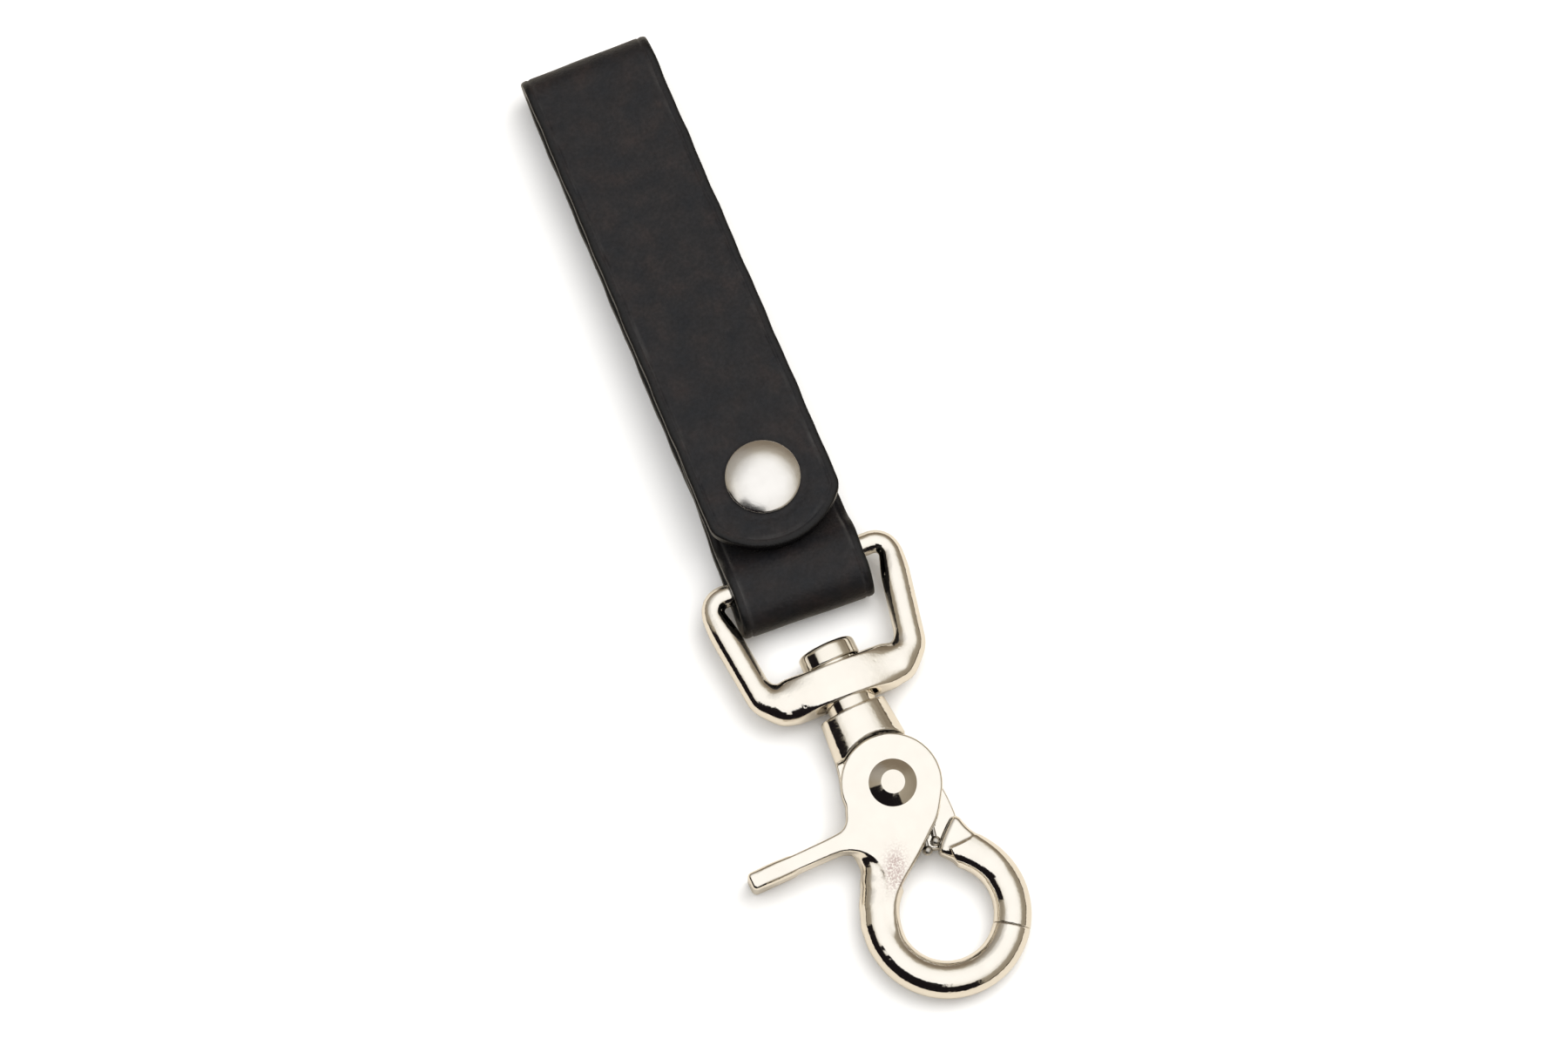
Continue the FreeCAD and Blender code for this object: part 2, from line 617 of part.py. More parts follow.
def make_hook_body():
    """Hook body: oval collar, back plate behind the trigger, and the fixed jaw."""
    body = hook_part("hook_body")
    sketch = circles(body, "plate_face", "XY_Plane", dim.disc_rad, lift=dim.plate_back)
    pad(body, "back_plate", sketch, plate_depth)
    sketch = outline(body, "jaw_web_face", "XY_Plane", scaled([
        (-6.0, -7.0), (8.0, -2.0), (8.9, -8.8), (8.9, -12.5), (2.6, -14.6), (-1.6, -11.4),
    ]), lift=dim.plate_back)
    pad(body, "jaw_web", sketch, plate_depth)
    sketch = oval(body, "collar_oval", "XZ_Plane", dim.collar_wide, dim.collar_deep,
                  x=dim.collar_x, lift=-dim.collar_top)
    pad(body, "collar", sketch, dim.collar_top - dim.collar_low)
    sketch = outline(body, "neck_face", "XY_Plane", scaled([
        (-7.2, 6.0), (7.2, 6.0), (5.9, 11.5), (-5.9, 11.5)]), lift=dim.plate_back)
    pad(body, "neck_web", sketch, plate_depth)
    # clear the space that the trigger's disc turns in
    sketch = circles(body, "disc_room", "XY_Plane", disc_room, lift=dim.plate_front)
    pocket(body, "disc_clearance", sketch, 8.0, back=True)

    # the fixed jaw's share of the ring starts just past the seam
    seam_width = math.degrees(dim.seam_gap / dim.ring_rad)
    ring_part(body, "jaw_ring", dim.seam_ang + seam_width, 72.0)
    sketch = outline(body, "jaw_face", "XY_Plane", scaled([
        (6.9, -20.6), (2.75, -14.9), (6.95, -10.75), (7.6, -10.45), (8.6, -11.1), (9.2, -13.0),
        (9.8, -14.6), (11.3, -16.5), (12.7, -18.7), (13.3, -21.2), (9.4, -22.0),
    ]), lift=-2.6)
    pad(body, "jaw_tip", sketch, 5.4)

    sketch = circles(body, "rivet_round", "XY_Plane", dim.rivet_rad, lift=bore_start)
    pocket(body, "rivet_bore", sketch, 10.0, back=True)
    sketch = circles(body, "spigot_round", "XZ_Plane", dim.spigot_rad, x=dim.pin_x, lift=-9.6)
    pocket(body, "spigot_bore", sketch, 10.0)
    return body


def make_trigger():
    """Trigger: disc over the back plate, thumb lever, stem, and most of the ring."""
    body = hook_part("trigger")
    sketch = circles(body, "disc_face", "XY_Plane", dim.disc_rad, lift=dim.disc_back)
    pad(body, "disc", sketch, dim.disc_front - dim.disc_back)
    stem_back = -2.9
    sketch = outline(body, "stem_face", "XY_Plane", scaled([
        (7.5, -5.6), (2.2, -11.4), (-0.3, -13.6), (-6.2, -18.2), (-8.3, -20.9),
        (-12.6, -17.3), (-10.7, -12.9), (-10.7, -10.6), (-12.2, -8.7),
        (-15.0, dim.lever_low), (-26.0, dim.lever_low), (-26.0, dim.lever_up),
        (-13.0, dim.lever_up), (-11.0, -3.9), (-9.6, -2.2), (-9.0, 0.0),
    ]), lift=stem_back)
    pad(body, "stem", sketch, dim.disc_front - stem_back)
    sketch = outline(body, "thumb_face", "XY_Plane", scaled([
        (-22.0, dim.lever_low), (-22.0, dim.lever_up), (-28.2, dim.lever_up - 0.1),
        (dim.lever_tip, -6.0), (dim.lever_tip + 0.3, -7.3), (-28.2, dim.lever_low - 0.2)]))
    pad(body, "thumb_pad", sketch, 2 * dim.pad_deep, midplane=True)
    ring_start = 135.0
    ring_part(body, "trigger_ring", ring_start, 360.0 + dim.seam_ang - ring_start)

    # room for the back plate and the jaw's web under the disc
    sketch = circles(body, "plate_room", "XY_Plane", disc_room, lift=dim.disc_back)
    pocket(body, "plate_clearance", sketch, 8.0)
    sketch = outline(body, "web_room", "XY_Plane", scaled([
        (-5.5, -7.5), (9.0, -2.0), (9.2, -9.0), (9.2, -13.0), (3.0, -15.0), (-1.9, -11.9),
    ]), lift=dim.disc_back)
    pocket(body, "web_clearance", sketch, 8.0)

    # spring recess, slot for the spring's legs, and bore
    sketch = circles(body, "recess_ring", "XY_Plane", dim.recess_out, dim.recess_in,
                     lift=dim.disc_back)
    pocket(body, "spring_recess", sketch, dim.recess_top - dim.disc_back, back=True)
    sketch = outline(body, "leg_slot_face", "XY_Plane", [
        (-3.2, -4.6), (6.2, -0.5), (6.2, -6.0), (4.6, -13.5), (-1.4, -15.2), (-1.4, -11.0),
    ], lift=dim.disc_back)
    pocket(body, "leg_slot", sketch, 1.9, back=True)
    sketch = circles(body, "bore_face", "XY_Plane", dim.bore_rad, lift=bore_start)
    pocket(body, "pivot_bore", sketch, 14.0, back=True)
    return body


def make_pivot_rivet():
    """Pivot rivet: cone head with a flat top, shank, and a low tail behind the plate."""
    body = hook_part("pivot_rivet")
    tail_back = dim.plate_back - 0.35
    tail_front = dim.plate_back - 0.02
    head_back = dim.disc_front + 0.05
    head_front = head_back + dim.cone_height
    # (radius, z)
    sketch = outline(body, "rivet_side", "XZ_Plane", [
        (0.0, tail_back), (3.1, tail_back), (3.3, tail_front), (dim.rivet_rad, tail_front),
        (dim.rivet_rad, head_back), (dim.cone_rad, head_back), (dim.cone_rad, head_back + 0.15),
        (dim.cone_top, head_front), (0.0, head_front)])
    turned(body, "rivet_form", sketch)
    return body


def make_trigger_spring():
    """Trigger spring: a coil round the rivet, its two legs ending in small balls."""
    radius = float(dim.coil_rad)
    wire_rad = float(dim.coil_wire)
    ball_rad = float(dim.ball_rad)
    pitch = 2 * wire_rad + 0.08
    coil_low = float(dim.disc_back) + wire_rad + 0.06
    helix = Part.makeHelix(pitch, pitch * float(dim.coil_turns), radius)
    helix.translate(V(0, 0, coil_low))
    first = helix.Vertexes[0].Point
    last = helix.Vertexes[-1].Point
    section = Part.makeCircle(wire_rad, first, V(0, 1, pitch / (2 * math.pi * radius)))
    coil = Part.Wire(helix.Edges).makePipeShell([Part.Wire([section])], True, True)

    def leg(start, end):
        """A straight wire with a round start."""
        run = end - start
        rod = Part.makeCylinder(wire_rad, run.Length, start, run)
        return rod.fuse(Part.makeSphere(wire_rad, start))

    first_ball = V(2.75, -12.3, coil_low + 0.75)
    second_ball = V(0.75, -13.25, coil_low + 0.45)
    # the second leg leaves the coil 300 degrees up its first turn
    root_angle = math.radians(-60)
    second_root = V(radius * math.cos(root_angle), radius * math.sin(root_angle),
                    coil_low + pitch * (300.0 / 360.0))
    wire = coil.fuse(leg(first, first_ball))
    # a very short leg rounds off the coil's upper end
    wire = wire.fuse(leg(last, V(last.x * 0.995, last.y, last.z)))
    wire = wire.fuse(Part.makeSphere(ball_rad, first_ball))
    wire = wire.fuse(leg(second_root, second_ball))
    wire = wire.fuse(Part.makeSphere(ball_rad, second_ball))

    spring = doc.addObject("Part::Feature", "trigger_spring")
    spring.Label = "trigger_spring"
    spring.Shape = wire.removeSplitter()
    spring.Placement = Placement(pivot, hook_turn)
    return spring


# ---------------------------------------------------------------- build, check and export
parts = [
    make_back_loop(), make_fold(), make_flap(),
    make_cap_shell(), make_cap_barrel(), make_socket_shell(), make_socket_spring(),
    make_stud(), make_rear_post(),
    make_swivel_eye(), make_swivel_pin(),
    make_hook_body(), make_trigger(), make_pivot_rivet(), make_trigger_spring(),
]
doc.recompute()
for obj in doc.Objects:
    if "Invalid" in obj.State or "Error" in obj.State:
        raise RuntimeError("failed feature: %s %s" % (obj.Name, obj.State))
for part in parts:
    if part.Shape.isNull() or not part.Shape.isValid():
        raise RuntimeError("bad shape: " + part.Label)
    if len(part.Shape.Solids) != 1:
        raise RuntimeError("%s holds %d solids" % (part.Label, len(part.Shape.Solids)))

os.makedirs("parts", exist_ok=True)
for part in parts:
    part.Shape.exportStep(os.path.join("parts", part.Label + ".step"))
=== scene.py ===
"""Leather belt strap with a domed press stud and a swivel trigger snap hook.

The strap runs along y: the flap lies on top, folds down at the +y end and comes back
underneath to a loop at the -y end, where the swivel eye and its hook hang. z is up from the
work face. Shapes are worked out in millimetres in the local frame of each piece, then written
in metres in the row frame. Solids are distance fields, negative inside.
"""
import json
import math
from functools import reduce
from itertools import product

import bpy
import numpy as np
from mathutils import Matrix, Vector


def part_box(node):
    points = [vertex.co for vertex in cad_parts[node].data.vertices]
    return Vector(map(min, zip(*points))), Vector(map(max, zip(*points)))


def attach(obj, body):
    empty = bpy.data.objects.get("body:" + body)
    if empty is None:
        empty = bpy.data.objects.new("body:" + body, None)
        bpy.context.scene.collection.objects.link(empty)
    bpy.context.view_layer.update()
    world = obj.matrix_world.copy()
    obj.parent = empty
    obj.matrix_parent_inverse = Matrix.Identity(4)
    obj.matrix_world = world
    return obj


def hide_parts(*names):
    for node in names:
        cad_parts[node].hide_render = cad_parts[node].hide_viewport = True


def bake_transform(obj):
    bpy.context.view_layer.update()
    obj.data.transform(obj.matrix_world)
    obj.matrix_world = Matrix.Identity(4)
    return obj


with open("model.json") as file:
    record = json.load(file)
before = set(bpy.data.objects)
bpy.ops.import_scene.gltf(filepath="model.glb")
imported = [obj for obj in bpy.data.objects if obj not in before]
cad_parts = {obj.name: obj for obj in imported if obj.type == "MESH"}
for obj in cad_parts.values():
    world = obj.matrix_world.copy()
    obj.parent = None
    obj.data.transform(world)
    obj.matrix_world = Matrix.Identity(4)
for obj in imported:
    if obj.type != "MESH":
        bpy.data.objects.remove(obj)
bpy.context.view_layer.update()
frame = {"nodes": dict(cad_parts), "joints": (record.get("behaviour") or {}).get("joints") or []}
MM = 0.001


# ------------------------------------------------------------------ local frames
def unit(vector):
    vector = np.array(vector, float)
    return vector / np.linalg.norm(vector)


def square_to(vector, axis):
    """The unit part of vector at right angles to a unit axis."""
    return unit(vector - np.dot(vector, axis) * axis)


def to_row(points, place):
    """Local points to the row frame; place is (rotation with columns x, y, z; origin in mm)."""
    return points @ place[0].T + place[1]


JOINTS = {joint["name"]: joint for joint in frame["joints"]}
POSITION = {name: np.array(joint["pos_m"], float) for name, joint in JOINTS.items()}
AXIS = {name: np.array(joint["axis"], float) for name, joint in JOINTS.items()}

# hook frame: origin at the trigger's pivot, y towards the eye, z up from the work face
hook_z = unit(-AXIS["trigger_open"])
hook_y = square_to(AXIS["hook_swivel"], hook_z)
HOOK = (np.stack([np.cross(hook_y, hook_z), hook_y, hook_z], 1),
        POSITION["trigger_open"] * 1000.0)
# eye frame: origin at the middle of the eye's bar, x along the bar, y away from the hook
eye_x = unit(AXIS["eye_swing"])
eye_y = square_to(unit(POSITION["eye_swing"] - POSITION["hook_swivel"]), eye_x)
EYE = (np.stack([eye_x, eye_y, np.cross(eye_x, eye_y)], 1), POSITION["eye_swing"] * 1000.0)

pivot_to_swivel = (POSITION["hook_swivel"] - POSITION["trigger_open"]) * 1000.0
PIN_X = float((HOOK[0].T @ pivot_to_swivel)[0])
# from the middle of the eye's base plate up to its bar
BAR_UP = float(np.dot((POSITION["eye_swing"] - POSITION["hook_swivel"]) * 1000.0, EYE[0][:, 1]))


# ------------------------------------------------------------------ distance fields
def smooth_min(a, b, width):
    share = np.clip(0.5 + 0.5 * (b - a) / width, 0.0, 1.0)
    return b + (a - b) * share - width * share * (1.0 - share)


def smooth_max(a, b, width):
    return -smooth_min(-a, -b, width)


def common(*fields):
    return reduce(np.maximum, fields)


def carve(solid, *cutters):
    """Takes the common part of the cutters out of the solid."""
    return np.maximum(solid, -common(*cutters))


def length(*parts):
    total = 0.0
    for part in parts:
        total = total + part * part
    return np.sqrt(total)


def rounded(radius, *fields):
    """The common part of the fields, its edges rounded."""
    raised = [field + radius for field in fields]
    outer = length(*[np.maximum(field, 0.0) for field in raised])
    return np.minimum(common(*raised), 0.0) + outer - radius


def slab(outline, z, low, high, radius):
    """A flat outline's distance given thickness low..high, its edges rounded."""
    return rounded(radius, outline, np.abs(z - (low + high) / 2.0) - (high - low) / 2.0)


def segment(x, y, z, start, end, start_radius, end_radius):
    """Round bar from start to end."""
    run = [end[i] - start[i] for i in range(3)]
    square = sum(c * c for c in run)
    offset = (x - start[0], y - start[1], z - start[2])
    t = np.clip((offset[0] * run[0] + offset[1] * run[1] + offset[2] * run[2]) / square, 0.0, 1.0)
    away = length(*[offset[i] - t * run[i] for i in range(3)])
    return away - (start_radius + (end_radius - start_radius) * t)


def ellipse(x, z, half_x, half_z):
    scaled = length(x / half_x, z / half_z)
    slope = length(x / (half_x * half_x), z / (half_z * half_z))
    return scaled * (scaled - 1.0) / np.maximum(slope, 1e-6)


def ease(t):
    """Smooth step from 0 to 1."""
    t = np.clip(t, 0, 1)
    return t * t * (3 - 2 * t)


def cut_corners(points):
    """Closed outline with its corners cut twice at the quarter points."""
    points = np.array(points, float)
    for _ in range(2):
        following = np.roll(points, -1, axis=0)
        pair = [0.75 * points + 0.25 * following, 0.25 * points + 0.75 * following]
        points = np.stack(pair, 1).reshape(-1, 2)
    return points


def round_corners(corners, steps):
    """Section with its corners rounded: (across, along, corner radius), 0 for a sharp corner."""
    out = []
    for i in range(len(corners)):
        corner = np.array(corners[i][:2], float)
        radius = corners[i][2]
        if radius <= 0:
            out.append(tuple(corner))
            continue
        before = unit(np.array(corners[i - 1][:2], float) - corner)
        after = unit(np.array(corners[(i + 1) % len(corners)][:2], float) - corner)
        half = math.acos(max(-1, min(1, float(before @ after)))) / 2
        cut = radius / math.tan(half)
        centre = corner + unit(before + after) * radius / math.sin(half)
        start, end = corner + before * cut - centre, corner + after * cut - centre
        angle = math.atan2(start[1], start[0])
        turn = (math.atan2(end[1], end[0]) - angle + math.pi) % (2 * math.pi) - math.pi
        for k in range(steps + 1):
            t = angle + turn * k / steps
            out.append((centre[0] + radius * math.cos(t), centre[1] + radius * math.sin(t)))
    return out


def polygon_distance(x, y, points):
    """Signed distance to a closed outline."""
    points = np.asarray(points, float)
    nearest = np.full(np.broadcast(x, y).shape, 1e9)
    sign = np.ones_like(nearest)
    for i in range(len(points)):
        here, last = points[i], points[i - 1]
        edge = last - here
        from_x, from_y = x - here[0], y - here[1]
        along = (from_x * edge[0] + from_y * edge[1]) / max(edge @ edge, 1e-12)
        t = np.clip(along, 0.0, 1.0)
        off_x, off_y = from_x - edge[0] * t, from_y - edge[1] * t
        nearest = np.minimum(nearest, off_x * off_x + off_y * off_y)
        above = y >= here[1]
        below = y < last[1]
        left = edge[0] * from_y > edge[1] * from_x
        sign = np.where((above & below & left) | (~above & ~below & ~left), -sign, sign)
    return sign * np.sqrt(nearest)


class FlatField:
    """A tabulated flat distance, read back by bilinear interpolation."""

    def __init__(self, distance, low, high, step=0.1):
        self.low, self.step = low, step
        xs, ys = (low[i] + step * np.arange(int((high[i] - low[i]) / step) + 2) for i in (0, 1))
        self.table = distance(xs[:, None], ys[None, :])

    def __call__(self, x, y):
        table = self.table
        x = np.clip((x - self.low[0]) / self.step, 0.0, table.shape[0] - 1.001)
        y = np.clip((y - self.low[1]) / self.step, 0.0, table.shape[1] - 1.001)
        i, j = x.astype(int), y.astype(int)
        u, v = x - i, y - j
        near = table[i, j] * (1 - u) + table[i + 1, j] * u
        far = table[i, j + 1] * (1 - u) + table[i + 1, j + 1] * u
        return near * (1 - v) + far * v


def outline_field(points, low, high, step=0.1):
    return FlatField(lambda x, y: polygon_distance(x, y, points), low, high, step)


# ------------------------------------------------------------------ meshing
def surface_net(lines, values):
    """Quads of the zero surface of values on the grid of lines, which may be uneven."""
    inside = values < 0
    nx, ny, nz = (n - 1 for n in inside.shape)
    count = sum(inside[i:i + nx, j:j + ny, k:k + nz].astype(np.int8)
                for i, j, k in product((0, 1), repeat=3))
    cells = np.nonzero((count > 0) & (count < 8))
    index = np.full(count.shape, -1, np.int64)
    index[cells] = np.arange(len(cells[0]))

    # each point is the mean of its cell's edge crossings
    total = np.zeros((len(cells[0]), 3))
    crossings = np.zeros(len(cells[0]))
    quads = []
    for axis in range(3):
        p, q = (k for k in range(3) if k != axis)
        for step_p, step_q in product((0, 1), repeat=2):
            start = list(cells)
            start[p], start[q] = start[p] + step_p, start[q] + step_q
            end = list(start)
            end[axis] = end[axis] + 1
            value_a, value_b = values[tuple(start)], values[tuple(end)]
            crossed = (value_a < 0) != (value_b < 0)
            t = np.where(crossed, value_a / np.where(crossed, value_a - value_b, 1.0), 0.0)
            point_a, point_b = (np.stack([lines[k][ends[k]] for k in range(3)], 1)
                                for ends in (start, end))
            total += (point_a + (point_b - point_a) * t[:, None]) * crossed[:, None]
            crossings += crossed

        # a quad joins the four cells round each crossed grid edge
        lower, upper = [slice(1, -1)] * 3, [slice(1, -1)] * 3
        lower[axis], upper[axis] = slice(None, -1), slice(1, None)
        edges = list(np.nonzero(inside[tuple(lower)] != inside[tuple(upper)]))
        edges[p], edges[q] = edges[p] + 1, edges[q] + 1
        ring = []
        for back_p, back_q in ((1, 1), (0, 1), (0, 0), (1, 0)):
            cell = list(edges)
            cell[p], cell[q] = cell[p] - back_p, cell[q] - back_q
            ring.append(index[tuple(cell)])
        ring = np.stack(ring, 1)
        forward_facing = inside[tuple(edges)] != (axis == 1)
        ring[~forward_facing] = ring[~forward_facing][:, ::-1]
        quads.append(ring)
    return total / crossings[:, None], np.vstack(quads)


def settle(points, field, nudge):
    """Moves the points onto the zero surface of the field."""
    points = points.copy()
    for _ in range(2):
        value = field(*points.T)
        slopes = [field(*(points + shift).T) - field(*(points - shift).T)
                  for shift in np.eye(3) * nudge]
        slope = np.stack(slopes, 1) / (2 * nudge)
        step = -(value / np.maximum((slope * slope).sum(1), 0.05))[:, None] * slope
        size = np.linalg.norm(step, axis=1)
        step *= np.minimum(1.0, 0.25 / np.maximum(size, 1e-9))[:, None]
        points += step
    return points


def mesh_field(field, lines, nudge=0.03):
    points, quads = surface_net(lines, field(*np.ix_(*lines)))
    return settle(points, field, nudge), quads


def link_object(name, mesh):
    ob = bpy.data.objects.new(name, mesh)
    bpy.context.scene.collection.objects.link(ob)
    return ob


def shade_smooth(mesh):
    mesh.polygons.foreach_set("use_smooth", np.ones(len(mesh.polygons), bool))


def add_values(mesh, name, values):
    attribute = mesh.attributes.new(name, "FLOAT", "POINT")
    attribute.data.foreach_set("value", np.asarray(values, np.float32))


def quad_object(name, points, quads):
    """Smooth object of quads; points are in the row frame, in mm."""
    mesh = bpy.data.meshes.new(name)
    mesh.vertices.add(len(points))
    mesh.vertices.foreach_set("co", (points * MM).astype(np.float32).ravel())
    mesh.loops.add(quads.size)
    mesh.loops.foreach_set("vertex_index", quads.astype(np.int32).ravel())
    mesh.polygons.add(len(quads))
    mesh.polygons.foreach_set("loop_start", np.arange(0, quads.size, 4, dtype=np.int32))
    mesh.update(calc_edges=True)
    mesh.validate()
    shade_smooth(mesh)
    mesh.update()
    return link_object(name, mesh)


def casting(name, field, low, high, place, step=0.22):
    lines = [a + step * np.arange(int(math.ceil((b - a) / step)) + 1) for a, b in zip(low, high)]
    points, quads = mesh_field(field, lines)
    return quad_object(name, to_row(points, place), quads)


def lathe(name, profile, place, steps=160, along_y=False):
    """Turned piece: profile is (radius, height), the height along local z or y."""
    angles = np.linspace(0, 2 * math.pi, steps, endpoint=False)
    points, first, faces = [], [], []
    for radius, height in profile:
        first.append(len(points))
        if radius < 1e-6:
            points.append((0.0, 0.0, height))
        else:
            points += [(radius * math.cos(t), radius * math.sin(t), height) for t in angles]
    for i in range(len(profile) - 1):
        a, b = first[i], first[i + 1]
        wide_a, wide_b = profile[i][0] >= 1e-6, profile[i + 1][0] >= 1e-6
        for k in range(steps):
            after = (k + 1) % steps
            if wide_a and wide_b:
                faces.append((a + k, a + after, b + after, b + k))
            elif wide_a:
                faces.append((a + k, a + after, b))
            elif wide_b:
                faces.append((a, b + after, b + k))
    points = np.array(points)
    if along_y:
        points = np.stack([points[:, 0], points[:, 2], -points[:, 1]], 1)
    mesh = bpy.data.meshes.new(name)
    mesh.from_pydata((to_row(points, place) * MM).tolist(), [], faces)
    shade_smooth(mesh)
    mesh.update()
    return link_object(name, mesh)


# ------------------------------------------------------------------ shader building
class Shader:
    """Adds nodes to one tree. A node input may be a socket, an rgb tuple or a number."""

    def __init__(self, tree, coords="Object"):
        self.tree = tree
        self.coords = self.add("TexCoord").outputs[coords]

    def add(self, kind):
        return self.tree.nodes.new("ShaderNode" + kind)

    def feed(self, socket, value):
        if isinstance(value, bpy.types.NodeSocket):
            self.tree.links.new(value, socket)
        else:
            socket.default_value = (*value, 1) if isinstance(value, tuple) else value

    def surface(self, values):
        bsdf = next(n for n in self.tree.nodes if n.type == "BSDF_PRINCIPLED")
        for name, value in values.items():
            self.feed(bsdf.inputs[name], value)

    def attribute(self, name):
        node = self.add("Attribute")
        node.attribute_name = name
        return node.outputs["Fac"]

    def noise(self, scale, detail=2.0, rough=0.5):
        node = self.add("TexNoise")
        node.inputs["Scale"].default_value = scale
        node.inputs["Detail"].default_value = detail
        node.inputs["Roughness"].default_value = rough
        self.feed(node.inputs["Vector"], self.coords)
        return node.outputs["Fac"]

    def voronoi(self, scale):
        node = self.add("TexVoronoi")
        node.inputs["Scale"].default_value = scale
        self.feed(node.inputs["Vector"], self.coords)
        return node

    def ramp(self, source, *stops):
        """Stops are (position, grey or rgb)."""
        node = self.add("ValToRGB")
        elements = node.color_ramp.elements
        while len(elements) < len(stops):
            elements.new(0.5)
        for element, (position, colour) in zip(elements, stops):
            element.position = position
            element.color = (colour,) * 3 + (1,) if isinstance(colour, float) else (*colour, 1)
        self.feed(node.inputs["Fac"], source)
        return node.outputs["Color"]

    def math(self, operation, first, second=None):
        node = self.add("Math")
        node.operation = operation
        self.feed(node.inputs[0], first)
        if second is not None:
            self.feed(node.inputs[1], second)
        return node.outputs[0]

    def mix(self, amount, base, over, mode="MIX"):
        node = self.add("MixRGB")
        node.blend_type = mode
        for name, value in (("Fac", amount), ("Color1", base), ("Color2", over)):
            self.feed(node.inputs[name], value)
        return node.outputs["Color"]

    def bumps(self, *layers):
        """Chained bumps; layers are (height, strength, distance in metres)."""
        normal = None
        for height, strength, distance in layers:
            node = self.add("Bump")
            node.inputs["Strength"].default_value = strength
            node.inputs["Distance"].default_value = distance
            self.feed(node.inputs["Height"], height)
            if normal is not None:
                self.feed(node.inputs["Normal"], normal)
            normal = node.outputs["Normal"]
        return normal


def new_material(name):
    material = bpy.data.materials.new(name)
    material.use_nodes = True
    return material, Shader(material.node_tree)


# ------------------------------------------------------------------ materials
def nickel(name, tint, rough, peel, worn=False):
    """Nickel plate: fine orange peel, faint cloudiness, a few small pits."""
    material, shader = new_material(name)
    colour = shader.ramp(shader.noise(scale=260.0, detail=3.0, rough=0.55),
                         (0.30, tuple(t * 0.955 for t in tint)), (0.75, tint))
    roughness = shader.ramp(shader.noise(scale=420.0, detail=4.0, rough=0.6),
                            (0.25, rough * 0.7), (0.8, rough * 1.5))
    layers = [(shader.noise(scale=700.0), 0.30 * peel, 0.00009),
              (shader.noise(scale=2100.0), 0.25 * peel, 0.00003)]
    pits = shader.ramp(shader.voronoi(scale=330.0).outputs["Distance"], (0.05, 0.0), (0.12, 1.0))
    layers.append((pits, 0.22 * peel, 0.00005))
    if worn:
        # pebbled, browner patch where the plate is thin
        patch = shader.attribute("worn")
        grit = shader.noise(scale=2600.0, detail=3.0, rough=0.65)
        spots = shader.ramp(grit, (0.40, 0.0), (0.58, 0.85))
        colour = shader.mix(shader.math("MULTIPLY", patch, spots), colour, (0.52, 0.40, 0.38))
        layers.append((shader.math("MULTIPLY", patch, grit), 0.9, 0.00009))
    shader.surface({"Base Color": colour, "Metallic": 1.0, "Roughness": roughness,
                    "Normal": shader.bumps(*layers)})
    return material


def leather():
    material, shader = new_material("black_leather")
    edge, crease, flesh = (shader.attribute(name) for name in ("edge", "crease", "flesh"))
    mottle = shader.ramp(shader.noise(scale=190.0, detail=4.0, rough=0.6),
                         (0.28, (0.0060, 0.0068, 0.0088)),
                         (0.52, (0.0098, 0.0088, 0.0096)),
                         (0.76, (0.0165, 0.0118, 0.0112)))
    speck = shader.ramp(shader.noise(scale=1500.0, rough=0.6), (0.35, 0.80), (0.70, 1.28))
    colour = shader.mix(1.0, mottle, speck, mode="MULTIPLY")
    # burnished edge: near black
    colour = shader.mix(edge, colour, (0.0045, 0.0044, 0.0048))
    # crease: painted highlight, a lighter line along the crease groove, broken up by noise
    crease_highlight_breakup = shader.ramp(shader.noise(scale=130.0, detail=3.0, rough=0.6), (0.42, 0.0), (0.70, 0.60))
    colour = shader.mix(shader.math("MULTIPLY", crease, crease_highlight_breakup), colour, (0.045, 0.044, 0.044))
    # smoother on the edge, rough on the flesh side
    roughness = shader.ramp(shader.noise(scale=320.0, detail=3.0, rough=0.6),
                            (0.3, 0.40), (0.75, 0.54))
    roughness = shader.mix(shader.math("MULTIPLY", edge, 0.8), roughness, (0.30, 0.30, 0.30))
    roughness = shader.mix(flesh, roughness, (0.75, 0.75, 0.75))
    # grain: broad waves, pebbles of two sizes, fine tooth
    pebbles = shader.voronoi(scale=1850.0)
    pebbles.feature = "SMOOTH_F1"
    pebbles.inputs["Smoothness"].default_value = 0.6
    normal = shader.bumps(
        (shader.noise(scale=120.0, detail=3.0), 0.35, 0.00035),
        (pebbles.outputs["Distance"], 0.42, 0.00011),
        (shader.voronoi(scale=3600.0).outputs["Distance"], 0.30, 0.00005),
        (shader.noise(scale=5200.0, rough=0.7), 0.30, 0.00005))
    shader.surface({"Base Color": colour, "Roughness": roughness, "Specular IOR Level": 0.27,
                    "Normal": normal})
    return material


def steel():
    material, shader = new_material("spring_steel")
    colour = shader.ramp(shader.noise(scale=900.0, detail=3.0, rough=0.6),
                         (0.3, (0.50, 0.48, 0.45)), (0.8, (0.68, 0.66, 0.62)))
    shader.surface({"Base Color": colour, "Metallic": 1.0, "Roughness": 0.28,
                    "Normal": shader.bumps((shader.noise(scale=3000.0), 0.2, 0.00003))})
    return material


# (material, slot name)
LEATHER = (leather(), "black_leather")
HOOK_METAL = (nickel("hook_nickel", tint=(0.935, 0.895, 0.825), rough=0.075, peel=1.35,
                     worn=True), "hook_nickel")
PIN_METAL = (nickel("pin_nickel", tint=(0.91, 0.865, 0.785), rough=0.08, peel=0.7), "hook_nickel")
SNAP_METAL = (nickel("snap_nickel", tint=(0.90, 0.885, 0.865), rough=0.19, peel=0.5),
              "snap_nickel")
SPRING_METAL = (steel(), "spring_steel")


def finish_with(ob, finish):
    ob.data.materials.clear()
    ob.data.materials.append(finish[0])


def fit(ob, finish, rides, replaces):
    finish_with(ob, finish)
    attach(ob, rides)
    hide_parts(replaces)


